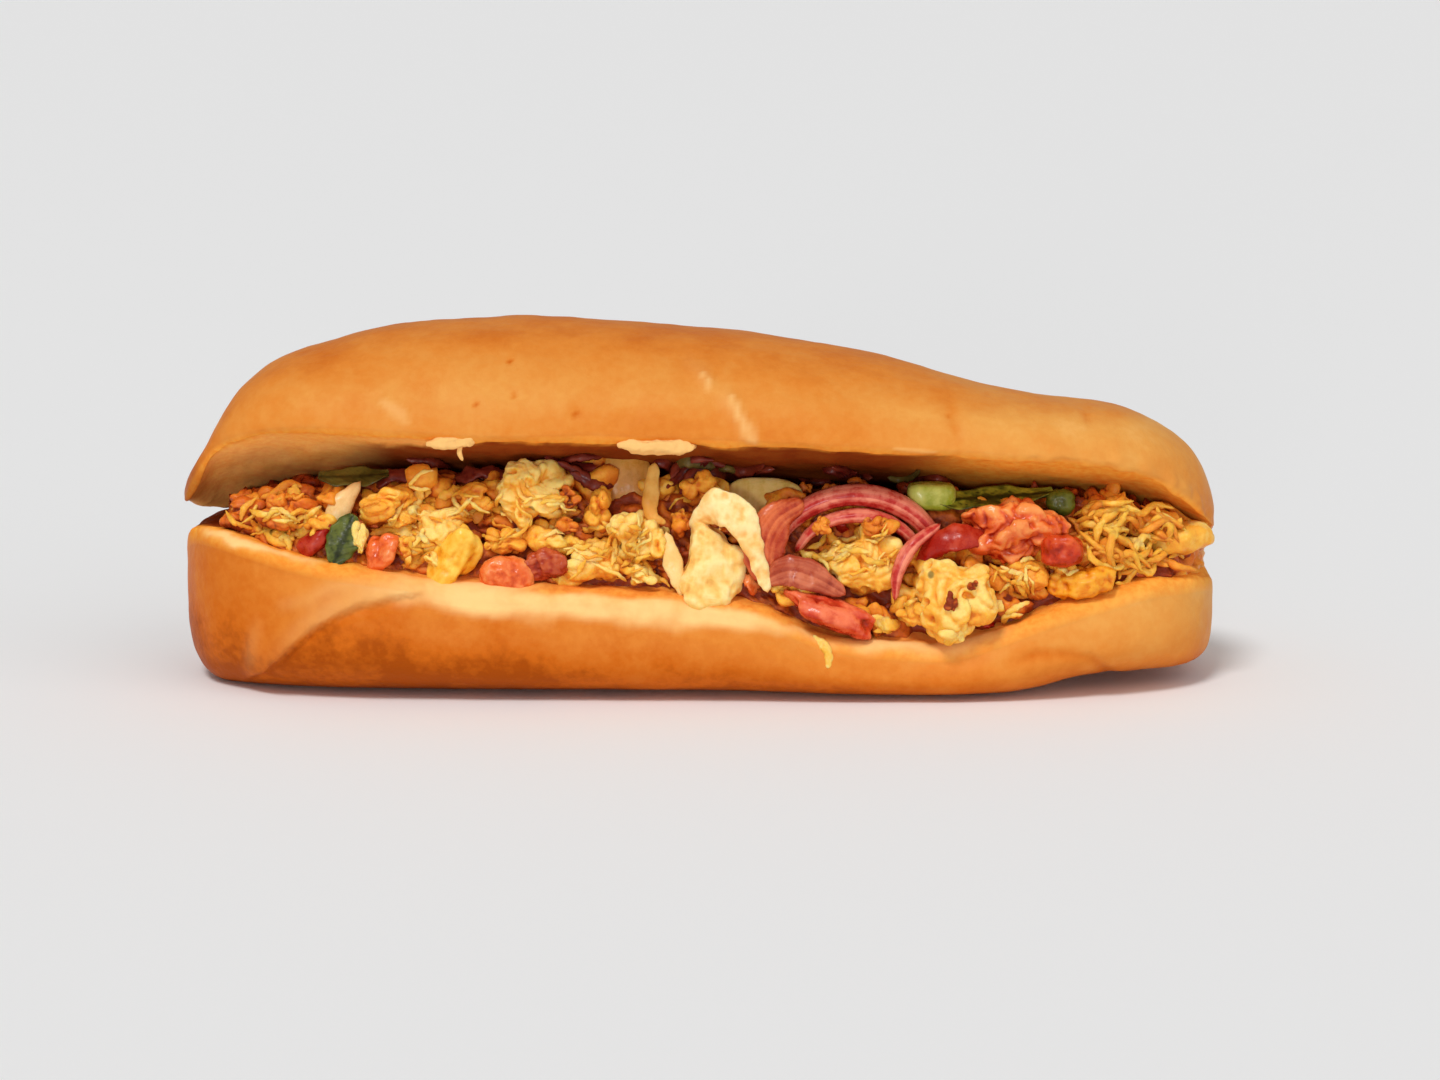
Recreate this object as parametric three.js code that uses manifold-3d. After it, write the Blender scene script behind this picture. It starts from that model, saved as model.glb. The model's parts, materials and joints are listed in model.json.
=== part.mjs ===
// Shakshuka sandwich: a long soft roll, slit along its front and still joined along its back, with
// scrambled egg, tomato, onion, pepper and herbs in its mouth.
// Millimetres, +Z up. +X runs along the roll, to the right of someone who faces the mouth, and the
// mouth opens towards -Y. The origin is on the ground, below the middle of the whole.
import * as THREE from 'three';
import { mergeVertices } from 'three/addons/utils/BufferGeometryUtils.js';
import Module from 'manifold-3d';

const wasm = await Module();
wasm.setup();

// The roll
const ROLL_HALF_LENGTH = 105;
const SLIT_END = 25; // how far back the slit reaches
const HINGE_LAP = 2.5; // the halves run into each other by this much behind the slit
const LAP_START = 27; // depths between which their lapped faces lie level
const LAP_LEVEL = 31;
const TIP_GAP = 0.9; // at both tips the slit goes right through
const TIP_START = 92;
const TIP_FULL = 98.5;
const BACK_EDGE = 35.4; // foot of the lid's back, inside the lower half
const BACK_TUCK = 34.6; // top of the lower half's back, inside the lid
const LID_LIP = 34.8; // the front edge of the upper crust
const LID_LIP_ROUND = 1.8;
const LID_LIP_SKIN = 1.2; // the skin turns under this far above the lip's height
const LID_LIP_CUT = 0.6; // and the cut face starts this far below it
const BASE_LIP = 34.5; // the front edge of the lower crust
const BASE_LIP_ROUND = 4.5;
const BASE_LIP_DROP = 3.5;
const BASE_HALF_WIDTH = 37.5;
const BASE_FULLNESS = 3.7; // superellipse power of the lower half: full sides, flat underside
const BASE_FLAT = 0.6; // what is cut off the rounded underside to make it flat
const BASE_ROUNDING = 5; // height of the rounding between underside and side
const END_LIFT = 3.5; // the right end of the underside curls up off the ground
const LEAN_POWER = 2; // how late the lower side leans in to its lip
const TUCK_POWER = 8; // and its back to the tuck
const SIDE_BULGE = 2.8; // the lower side swells out below its fold
const FOLD_SOFTNESS = 3;
const BASE_PLAN = 7; // how blunt the ends are, seen from above
const LID_PLAN = 5.4;
const FLATTEST_LID = 2;
const TAPER_START = 0.8; // share of the half length where the ends begin to round off
const BASE_TAPER = [8.5, 0.3]; // power and root of the rounding, seen from the front
const LID_TAPER = [7, 0.4];
const STATIONS = 32;
const LAST_RING = 0.993; // share of the half length at the ring nearest each tip
const CUT_STEPS = 5;
const SKIN_STEPS = 14;
const END_CROWDING = 0.62;
const STRIP_SIDES = 6;
const ARC_POINTS = 9;
const ARC_LEAN = 1;
const LEAF_STEPS = 6;
const LEAF_SIDES = [-1, -0.45, 0.45, 1]; // shares of the half width, from edge to edge

// Clearance between two pieces that touch
const GAP = 0.3;

// The heap of egg
const HEAP_LEFT = -96;
const HEAP_RIGHT = 102.5;
const HEAP_BACK = 22;
const HEAP_FOOT = 29.5; // depth of its front face at the lower lip
const HEAP_BROW = 20; // depth of its front face at the top
const HEAP_CLEARANCE = 0.5; // between the heap and both cut faces of the bread
const HEAP_FOOT_RISE = 0.6; // its front face starts this far above the lip
const HEAP_FOOT_BULGE = 0.8; // and this far in front of its own foot
const HEAP_FACE_STEPS = 3;
const HEAP_FACE_POWER = 1.5; // how full the face is below its brow
const HEAP_STATIONS = 20;
const HEAP_STEPS = 4;
const HEAP_TAPER = [12, 0.5];

// The curds
const LOOSE_CURDS = 20;
const CURD_SEED = 11;
const CURD_LUMPS = 9;
const CURD_HEART = 0.68; // radius of the middle lump, as a share of the curd's half size
const LUMP_REACH = [0.42, 0.58]; // nearest and farthest middle of the other lumps
const LUMP_RADIUS = [0.36, 0.52];
const LARGE_CURD = 8; // a curd whose half size passes this gets finer facets
const LOOSE_HALF_SIZE = [2.6, 4.8];
const LOOSE_HEIGHT = [0.1, 0.95]; // shares of the height of the heap's face
const LOOSE_END_ROOM = 4.5;
const LOOSE_FIRST_SEED = 60;

const clamp = (value, low, high) => Math.min(Math.max(value, low), high);
const mix = (a, b, share) => a + (b - a) * share;
const smooth = (low, high, value) => {
  const t = clamp((value - low) / (high - low), 0, 1);
  return t * t * (3 - 2 * t);
};
const degrees = THREE.MathUtils.degToRad;

// Repeatable numbers from 0 to 1
function dice(seed) {
  let state = seed >>> 0;
  return () => {
    state = (Math.imul(state, 1664525) + 1013904223) >>> 0;
    return state / 4294967296;
  };
}

// A height that changes smoothly along the roll: a cubic curve through [place, height] stations
function alongRoll(stations) {
  const last = stations.length - 1;
  const slopes = stations.map((unused, i) => {
    const [x0, h0] = stations[Math.max(i - 1, 0)];
    const [x1, h1] = stations[Math.min(i + 1, last)];
    return (h1 - h0) / (x1 - x0);
  });
  return (place) => {
    const x = clamp(place, stations[0][0], stations[last][0]);
    const i = clamp(stations.findIndex(([station]) => station > x) - 1, 0, last - 1);
    const next = x >= stations[last][0] ? last - 1 : i;
    const [x0, h0] = stations[next];
    const [x1, h1] = stations[next + 1];
    const span = x1 - x0;
    const t = (x - x0) / span;
    const t2 = t * t;
    const t3 = t2 * t;
    return (
      h0 * (2 * t3 - 3 * t2 + 1) +
      h1 * (3 * t2 - 2 * t3) +
      slopes[next] * span * (t3 - 2 * t2 + t) +
      slopes[next + 1] * span * (t3 - t2)
    );
  };
}

const crownHeight = alongRoll([
  [-105, 41], [-101, 45.6], [-97, 52.5], [-92, 60], [-86, 65], [-77, 68.3], [-60, 71.6],
  [-40, 73], [-16, 72], [13, 69.4], [42, 64.2], [58, 60], [68, 58.2], [80, 57.2], [88, 54.6],
  [96, 49.6], [101, 45], [105, 38],
]);
const lidLip = alongRoll([
  [-105, 35], [-101, 42.5], [-97, 48.2], [-89, 52], [-78, 53.8], [-59, 52.5], [-39, 51], [0, 50.8],
  [20, 49.3], [59, 47], [78, 45], [89, 42], [98, 37.3], [105, 30],
]);
const baseLip = alongRoll([
  [-105, 33], [-96, 32.3], [-89, 31], [-79, 28.6], [-59, 24.4], [-49, 22], [-20, 20.7], [0, 19.9],
  [12, 18.3], [26, 13.5], [40, 11.7], [50, 11.7], [59, 14.3], [69, 17.9], [79, 20.7], [90, 23],
  [105, 22.5],
]);
const hingeHeight = alongRoll([[-105, 31], [-90, 30.5], [-60, 29.5], [0, 28], [60, 27], [105, 26.5]]);
const foldHeight = alongRoll([[-98, 1], [-90, 6], [-80, 12.5], [-70, 17], [-60, 20], [-50, 24]]);
const heapTop = alongRoll([
  [-96, 35.5], [-85, 38.5], [-70, 41], [-40, 42], [-33, 43], [-20, 41], [0, 41.5], [15, 38.5],
  [30, 38.5], [45, 37], [60, 38], [75, 38], [88, 35], [97, 31.5], [103, 28.5],
]);

const underLift = (x) => END_LIFT * smooth(60, 80, x);
const sideBulge = (x) => SIDE_BULGE * smooth(-97, -78, x) * (1 - smooth(30, 68, x));
const hingeLap = (x) => mix(HINGE_LAP, -TIP_GAP, smooth(TIP_START, TIP_FULL, Math.abs(x)));

// The ends round off, seen from above and from the front: shares of the full width and height
const planWidth = (share, power) => Math.sqrt(1 - Math.min(Math.abs(share), 1) ** power);
function endHeight(share, [power, root]) {
  const past = Math.max((Math.abs(share) - TAPER_START) / (1 - TAPER_START), 0);
  return (1 - Math.min(past, 1) ** power) ** root;
}

// Height of the lower cut face: level at the back, falling to the lip
function baseCut(x, y) {
  const front = BASE_LIP_ROUND - BASE_LIP;
  const share = clamp((SLIT_END - y) / (SLIT_END - front), 0, 1);
  return mix(hingeHeight(x), baseLip(x), share ** 1.5);
}

// Height of the upper cut face: a straight slope from the hinge to the lip
function lidCut(x, y) {
  const front = LID_LIP_ROUND - LID_LIP;
  return mix(hingeHeight(x), lidLip(x) - LID_LIP_CUT, (SLIT_END - y) / (SLIT_END - front));
}

// Cross-section of the lower half, as [y, z] points: cut face, rounded lip, then half a superellipse
// for the skin, from the lip round the underside to the back, and the lapped face under the lid
function baseSection(x) {
  const lip = baseLip(x);
  const hinge = hingeHeight(x);
  const points = [];
  const front = BASE_LIP_ROUND - BASE_LIP;
  for (let i = 0; i <= CUT_STEPS; i++) {
    const y = mix(SLIT_END, front, i / CUT_STEPS);
    points.push([y, baseCut(x, y)]);
  }
  for (const turn of [45, 90]) {
    const angle = degrees(turn);
    const drop = BASE_LIP_DROP * (1 - Math.cos(angle));
    points.push([front - BASE_LIP_ROUND * Math.sin(angle), lip - drop]);
  }
  const edge = lip - BASE_LIP_DROP;
  const lapTop = hinge + hingeLap(x);
  const foldLine = Math.min(edge, foldHeight(x));
  const lift = underLift(x);
  for (let i = 1; i <= SKIN_STEPS; i++) {
    const angle = degrees(180 + (180 * i) / SKIN_STEPS);
    const side = Math.cos(angle);
    const isFront = side < 0;
    const top = isFront ? edge : lapTop;
    const across = Math.sign(side) * Math.abs(side) ** (2 / BASE_FULLNESS);
    const down = Math.abs(Math.sin(angle)) ** (2 / BASE_FULLNESS);
    const bare = Math.max(top * (1 - down) - BASE_FLAT, 0) * (top / (top - BASE_FLAT));
    const lean = isFront
      ? (1 - BASE_LIP / BASE_HALF_WIDTH) * (bare / top) ** LEAN_POWER
      : (1 - BACK_TUCK / BASE_HALF_WIDTH) * (bare / top) ** TUCK_POWER;
    const belowFold = smooth(0, FOLD_SOFTNESS, foldLine - bare) * smooth(0, BASE_ROUNDING, bare);
    const bulge = isFront ? sideBulge(x) * belowFold : 0;
    points.push([BASE_HALF_WIDTH * across * (1 - lean) - bulge, lift + bare * (1 - lift / top)]);
  }
  points.push([LAP_LEVEL, lapTop], [LAP_START, lapTop]);
  return points;
}

// Cross-section of the lid, as [y, z] points: lapped face, then half an ellipse tilted with the lid
// for the skin, from the back over the crown to the lip, and the cut face
function lidSection(x) {
  const lip = lidLip(x);
  const hinge = hingeHeight(x);
  const lapFoot = hinge - hingeLap(x);
  const points = [[LAP_START, lapFoot], [LAP_LEVEL, lapFoot]];
  const front = [-LID_LIP, lip + LID_LIP_SKIN];
  const back = [BACK_EDGE, lapFoot];
  const middle = [(front[0] + back[0]) / 2, (front[1] + back[1]) / 2];
  const reach = Math.hypot(front[0] - middle[0], front[1] - middle[1]);
  const tiltCos = (middle[0] - front[0]) / reach;
  const tiltSin = (front[1] - middle[1]) / reach;
  const rise = crownHeight(x) - middle[1];
  const tall = Math.sqrt(Math.max(rise ** 2 - (reach * tiltSin) ** 2, FLATTEST_LID ** 2)) / tiltCos;
  for (let i = 0; i <= SKIN_STEPS; i++) {
    const angle = (Math.PI * i) / SKIN_STEPS;
    const out = reach * Math.cos(angle);
    const up = tall * Math.sin(angle);
    points.push([middle[0] + tiltCos * out + tiltSin * up, middle[1] - tiltSin * out + tiltCos * up]);
  }
  const cutFront = LID_LIP_ROUND - LID_LIP;
  for (let i = 0; i <= CUT_STEPS; i++) {
    const y = mix(cutFront, SLIT_END, i / CUT_STEPS);
    points.push([y, lidCut(x, y)]);
  }
  return points;
}

// Moves each point of a closed section outwards by a margin, square to the line of its neighbours
function grownSection(points, margin) {
  const count = points.length;
  const area = points.reduce((sum, [y, z], i) => {
    const [ny, nz] = points[(i + 1) % count];
    return sum + y * nz - ny * z;
  }, 0);
  const turn = Math.sign(area);
  return points.map(([y, z], i) => {
    const [y0, z0] = points[(i + count - 1) % count];
    const [y1, z1] = points[(i + 1) % count];
    const length = Math.hypot(y1 - y0, z1 - z0) || 1;
    return [y + (margin * turn * (z1 - z0)) / length, z - (margin * turn * (y1 - y0)) / length];
  });
}

// Where the rings stand along the roll: closer together towards both ends
function rollStations(count) {
  const places = [-LAST_RING];
  for (let i = 1; i < count; i++) {
    const t = (2 * i) / count - 1;
    places.push(mix(t, Math.sin((Math.PI / 2) * t), END_CROWDING));
  }
  places.push(LAST_RING);
  return places;
}

// A closed body through rings of points, with a pole at each end
function loft(rings, firstPole, lastPole) {
  const around = rings[0].length;
  const positions = rings.flat(2).concat(firstPole, lastPole);
  const first = rings.length * around;
  const last = first + 1;
  const index = [];
  for (let i = 0; i < around; i++) {
    const next = (i + 1) % around;
    index.push(first, next, i);
    for (let k = 0; k + 1 < rings.length; k++) {
      const a = k * around + i;
      const b = k * around + next;
      index.push(a, b, a + around, b, b + around, a + around);
    }
    const end = (rings.length - 1) * around;
    index.push(last, end + i, end + next);
  }
  return closedSolid(positions, index);
}

function closedSolid(positions, index) {
  const make = (triVerts) =>
    new wasm.Manifold(
      new wasm.Mesh({
        numProp: 3,
        vertProperties: new Float32Array(positions),
        triVerts: new Uint32Array(triVerts),
      }),
    );
  const solid = make(index);
  return solid.volume() >= 0 ? solid : make(index.slice().reverse());
}

// One half of the roll: its sections narrow, and draw in to mid height, towards both tips
function rollHalf(section, plan, taper, margin) {
  const halfLength = ROLL_HALF_LENGTH + margin;
  const midHeight = (points) => {
    const heights = points.map(([, z]) => z);
    return (Math.min(...heights) + Math.max(...heights)) / 2;
  };
  const rings = rollStations(STATIONS).map((share) => {
    const points = grownSection(section(ROLL_HALF_LENGTH * share), margin);
    const middle = midHeight(points);
    const width = planWidth(share, plan);
    const height = endHeight(share, taper);
    return points.map(([y, z]) => [halfLength * share, y * width, middle + (z - middle) * height]);
  });
  const poleAt = (share) => [halfLength * share, 0, midHeight(section(ROLL_HALF_LENGTH * share))];
  return loft(rings, poleAt(-1), poleAt(1));
}

// Turns a shape by angles about X, Y and Z and puts its middle at a point
function placement(at, turn) {
  const spin = new THREE.Quaternion().setFromEuler(new THREE.Euler(...turn.map(degrees)));
  return new THREE.Matrix4().compose(new THREE.Vector3(...at), spin, new THREE.Vector3(1, 1, 1));
}

const randomWay = (roll) => new THREE.Vector3(roll() - 0.5, roll() - 0.5, roll() - 0.5).normalize();

// An uneven lump: a superellipsoid whose skin is pushed in and out by slow waves
function lumpySolid(shape, margin) {
  const { at, half, turn = [0, 0, 0], boxy = 1.3, rough = 0.1, seed, detail = 5 } = shape;
  const roll = dice(seed);
  const waves = Array.from({ length: 4 }, () => ({
    way: randomWay(roll),
    pace: 2 + 3 * roll(),
    start: 2 * Math.PI * roll(),
  }));
  const place = placement(at, turn);
  const bent = (value) => Math.sign(value) * Math.abs(value) ** (1 / boxy);
  const pointAt = (ring, spoke) => {
    const high = (Math.PI * ring) / detail;
    const round = (2 * Math.PI * spoke) / (2 * detail);
    const way = new THREE.Vector3(
      Math.sin(high) * Math.cos(round), Math.sin(high) * Math.sin(round), Math.cos(high),
    );
    const swell = waves.reduce(
      (sum, wave) => sum + (rough / 2) * Math.sin(wave.pace * way.dot(wave.way) + wave.start), 1,
    );
    return new THREE.Vector3(bent(way.x), bent(way.y), bent(way.z))
      .multiplyScalar(swell)
      .multiply(new THREE.Vector3(half[0] + margin, half[1] + margin, half[2] + margin))
      .applyMatrix4(place)
      .toArray();
  };
  const rings = [];
  for (let ring = 1; ring < detail; ring++) {
    rings.push(Array.from({ length: 2 * detail }, (unused, spoke) => pointAt(ring, spoke)));
  }
  return loft(rings, pointAt(0, 0), pointAt(detail, 0));
}

// A strip or petal that follows a curved path. Each ring is an ellipse: `wide` across the path and
// `thick` through it, drawn in to `tip` of that at both ends. `face` is the way its flat side looks.
function stripSolid({ path, face, wide, thick, tip = 0.3, steps = 8 }, margin) {
  const curve = new THREE.CatmullRomCurve3(path.map((point) => new THREE.Vector3(...point)));
  const looks = new THREE.Vector3(...face).normalize();
  const rings = [];
  for (let i = 0; i <= steps; i++) {
    const t = i / steps;
    const centre = curve.getPoint(t);
    const ahead = curve.getTangent(t);
    const across = new THREE.Vector3().crossVectors(ahead, looks).normalize();
    const through = new THREE.Vector3().crossVectors(across, ahead).normalize();
    const full = tip + (1 - tip) * Math.sqrt(Math.sin(Math.PI * clamp(t, 0.001, 0.999)));
    rings.push(
      Array.from({ length: STRIP_SIDES }, (unused, k) => {
        const angle = (2 * Math.PI * k) / STRIP_SIDES;
        return centre
          .clone()
          .addScaledVector(across, Math.cos(angle) * ((wide / 2) * full + margin))
          .addScaledVector(through, Math.sin(angle) * ((thick / 2) * full + margin))
          .toArray();
      }),
    );
  }
  const endOf = (t, way) =>
    curve.getPoint(t).addScaledVector(curve.getTangent(t), way * (thick * 0.3 + margin)).toArray();
  return loft(rings, endOf(0, -1), endOf(1, 1));
}

// A thin wavy leaf, both faces split alike: its edges and ends curl up and its sides ripple
function leafSolid({ at, long, wide, thick, turn, curl = 1 }, margin) {
  const place = placement(at, turn);
  const rings = [];
  for (let i = 0; i <= LEAF_STEPS; i++) {
    const t = i / LEAF_STEPS;
    const half = (wide / 2) * (0.25 + 0.75 * Math.sin(Math.PI * t) ** 0.7) + margin;
    const point = (side, face) => {
      const ripple = 0.35 * side * Math.sin(4 * Math.PI * t + side);
      const height = curl * (ripple + 0.5 * side ** 2 + 0.4 * (2 * t - 1) ** 2);
      return new THREE.Vector3(
        (long / 2 + margin) * (2 * t - 1), half * side, height + face * (thick / 2 + margin),
      ).applyMatrix4(place).toArray();
    };
    rings.push([
      ...LEAF_SIDES.map((side) => point(side, 1)),
      ...LEAF_SIDES.map((side) => point(-side, -1)),
    ]);
  }
  const pole = (way) =>
    new THREE.Vector3((long / 2 + margin + 0.2) * way, 0, 0.4 * curl).applyMatrix4(place).toArray();
  return loft(rings, pole(-1), pole(1));
}

// How far out the skin of a curd lies in one direction: the farthest way out of any of its lumps
function curdReach(way, lumps) {
  let reach = 0;
  for (const { centre, radius } of lumps) {
    const along = way.dot(centre);
    const missSquared = centre.lengthSq() - along * along;
    const room = radius * radius - missSquared;
    if (room > 0) reach = Math.max(reach, along + Math.sqrt(room));
  }
  return reach;
}

// A curd of egg: soft lumps pressed together round a middle one
function curdSolid({ at, half, seed }) {
  const roll = dice(seed);
  const lumps = [{ centre: new THREE.Vector3(), radius: CURD_HEART }];
  for (let i = 0; i < CURD_LUMPS; i++) {
    const centre = randomWay(roll).multiplyScalar(mix(...LUMP_REACH, roll()));
    lumps.push({ centre, radius: mix(...LUMP_RADIUS, roll()) });
  }
  const ball = new THREE.IcosahedronGeometry(1, Math.max(...half) > LARGE_CURD ? 2 : 1);
  ball.deleteAttribute('normal');
  ball.deleteAttribute('uv');
  const merged = mergeVertices(ball);
  const position = merged.getAttribute('position');
  const middle = new THREE.Vector3(...at);
  const positions = [];
  for (let i = 0; i < position.count; i++) {
    const way = new THREE.Vector3().fromBufferAttribute(position, i).normalize();
    const skin = way.clone().multiplyScalar(curdReach(way, lumps));
    positions.push(...skin.multiply(new THREE.Vector3(...half)).add(middle).toArray());
  }
  return closedSolid(positions, Array.from(merged.index.array));
}

// The large curds that stand out, from left to right
const MAIN_CURDS = [
  { at: [-89, -17, 34.5], half: [5, 5, 4.5] },
  { at: [-81.5, -22, 35], half: [6, 5, 5.5] },
  { at: [-62, -23, 38.5], half: [7.5, 6, 5.5] },
  { at: [-52, -25, 33], half: [7.5, 5.5, 6] },
  { at: [-45.5, -23, 38], half: [6, 5.5, 5] },
  { at: [-32.5, -24, 40], half: [8.5, 6.5, 7] },
  { at: [-34.5, -26, 28.5], half: [6, 4.5, 4] },
  { at: [-18.5, -24, 37], half: [6.5, 6, 5.5] },
  { at: [-11.5, -26.5, 30], half: [6.5, 5.5, 6.5] },
  { at: [-20, -28, 25.5], half: [8, 4.5, 4.5] },
  { at: [-0.5, -23, 40.5], half: [6, 5.5, 4.5] },
  { at: [33.5, -27.5, 27.5], half: [10, 6.5, 7.5] },
  { at: [49.7, -33, 20], half: [9.8, 8, 8.2] },
  { at: [65.5, -27, 23.5], half: [7.5, 5, 5.5] },
  { at: [79.5, -25, 28], half: [6, 5, 5.5] },
  { at: [82, -22, 35], half: [6.5, 5.5, 5.5] },
  { at: [91, -18, 32.5], half: [6, 5.5, 5.5] },
  { at: [97, -9, 27.5], half: [6.5, 6, 4] },
];

// Cross-section of the heaped egg, clear of both cut faces of the bread. Each point is [y, z], with
// y still to be narrowed like the half of the roll that it lies against.
function heapSection(x) {
  const foot = baseLip(x) + HEAP_FOOT_RISE;
  const top = heapTop(x);
  const base = [];
  for (let i = 0; i <= HEAP_STEPS; i++) {
    const y = mix(HEAP_BACK, -HEAP_FOOT, i / HEAP_STEPS);
    base.push([y, baseCut(x, y) + HEAP_CLEARANCE]);
  }
  const face = [];
  for (let i = 1; i <= HEAP_FACE_STEPS; i++) {
    const t = i / HEAP_FACE_STEPS;
    face.push([-mix(HEAP_FOOT + HEAP_FOOT_BULGE, HEAP_BROW, t ** HEAP_FACE_POWER), mix(foot, top, t)]);
  }
  const lid = [];
  for (let i = 1; i <= HEAP_STEPS; i++) {
    const y = mix(-HEAP_BROW, HEAP_BACK, i / HEAP_STEPS);
    lid.push([y, Math.min(top, lidCut(x, y) - HEAP_CLEARANCE)]);
  }
  return { base, face, lid };
}

function heapSolid() {
  const middle = (HEAP_LEFT + HEAP_RIGHT) / 2;
  const halfLength = (HEAP_RIGHT - HEAP_LEFT) / 2;
  const rings = rollStations(HEAP_STATIONS).map((share) => {
    const x = middle + halfLength * share;
    const { base, face, lid } = heapSection(x);
    const rollShare = x / ROLL_HALF_LENGTH;
    const close = endHeight(share, HEAP_TAPER);
    const wide = planWidth(rollShare, BASE_PLAN) * close;
    const narrow = planWidth(rollShare, LID_PLAN) * close;
    const between = (wide + narrow) / 2;
    return [
      ...base.map(([y, z]) => [x, y * wide, z]),
      ...face.map(([y, z]) => [x, y * between, z]),
      ...lid.map(([y, z]) => [x, y * narrow, z]),
    ];
  });
  const poleAt = (x) => [x, 0, (baseLip(x) + heapTop(x)) / 2];
  return loft(rings, poleAt(HEAP_LEFT), poleAt(HEAP_RIGHT));
}

// Smaller curds strewn over the front face of the heap, by seeded chance
function looseCurds() {
  const roll = dice(CURD_SEED);
  return Array.from({ length: LOOSE_CURDS }, (unused, i) => {
    const place = (i + 0.2 + 0.6 * roll()) / LOOSE_CURDS;
    const x = mix(HEAP_LEFT + LOOSE_END_ROOM, HEAP_RIGHT - LOOSE_END_ROOM, place);
    const height = mix(...LOOSE_HEIGHT, roll());
    const size = mix(...LOOSE_HALF_SIZE, roll());
    const width = planWidth(x / ROLL_HALF_LENGTH, LID_PLAN);
    const y = -mix(HEAP_FOOT, HEAP_BROW, height ** HEAP_FACE_POWER) * width;
    const z = mix(baseLip(x) + size * 0.6, heapTop(x), height);
    return { at: [x, y, z], half: [size * 1.15, size, size * 0.9], seed: LOOSE_FIRST_SEED + i };
  });
}

// Points on an arc of an onion ring that stands in the mouth and leans forward at its top
function arcPath({ centre, wide, tall, from, to }) {
  const [x, y, z] = centre;
  return Array.from({ length: ARC_POINTS }, (unused, i) => {
    const angle = degrees(mix(from, to, i / (ARC_POINTS - 1)));
    const up = Math.sin(angle);
    return [x + wide * Math.cos(angle), y - ARC_LEAN * up, z + tall * up];
  });
}

const TOMATO = { color: '#c8402a', roughness: 0.3 };
const TOMATO_SKIN = { color: '#8e1a14', roughness: 0.25 };
const PINK_ONION = { color: '#b5484f', roughness: 0.3 };
const DARK_ONION = { color: '#54182a', roughness: 0.3 };
const WHITE_ONION = { color: '#b79a5e', roughness: 0.35 };
const OMELETTE = { color: '#edc277', roughness: 0.5 };
const HERB = { color: '#3c4a1a', roughness: 0.45 };
const GREEN_PEPPER = { color: '#9aa63a', roughness: 0.35 };
const YELLOW_PEPPER = { color: '#e2a02c', roughness: 0.35 };

const lump = (name, finish, shape) => ({ name, finish, shape, make: lumpySolid });
const strip = (name, finish, shape) => ({ name, finish, shape, make: stripSolid });
const leaf = (name, finish, shape) => ({ name, finish, shape, make: leafSolid });

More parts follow.
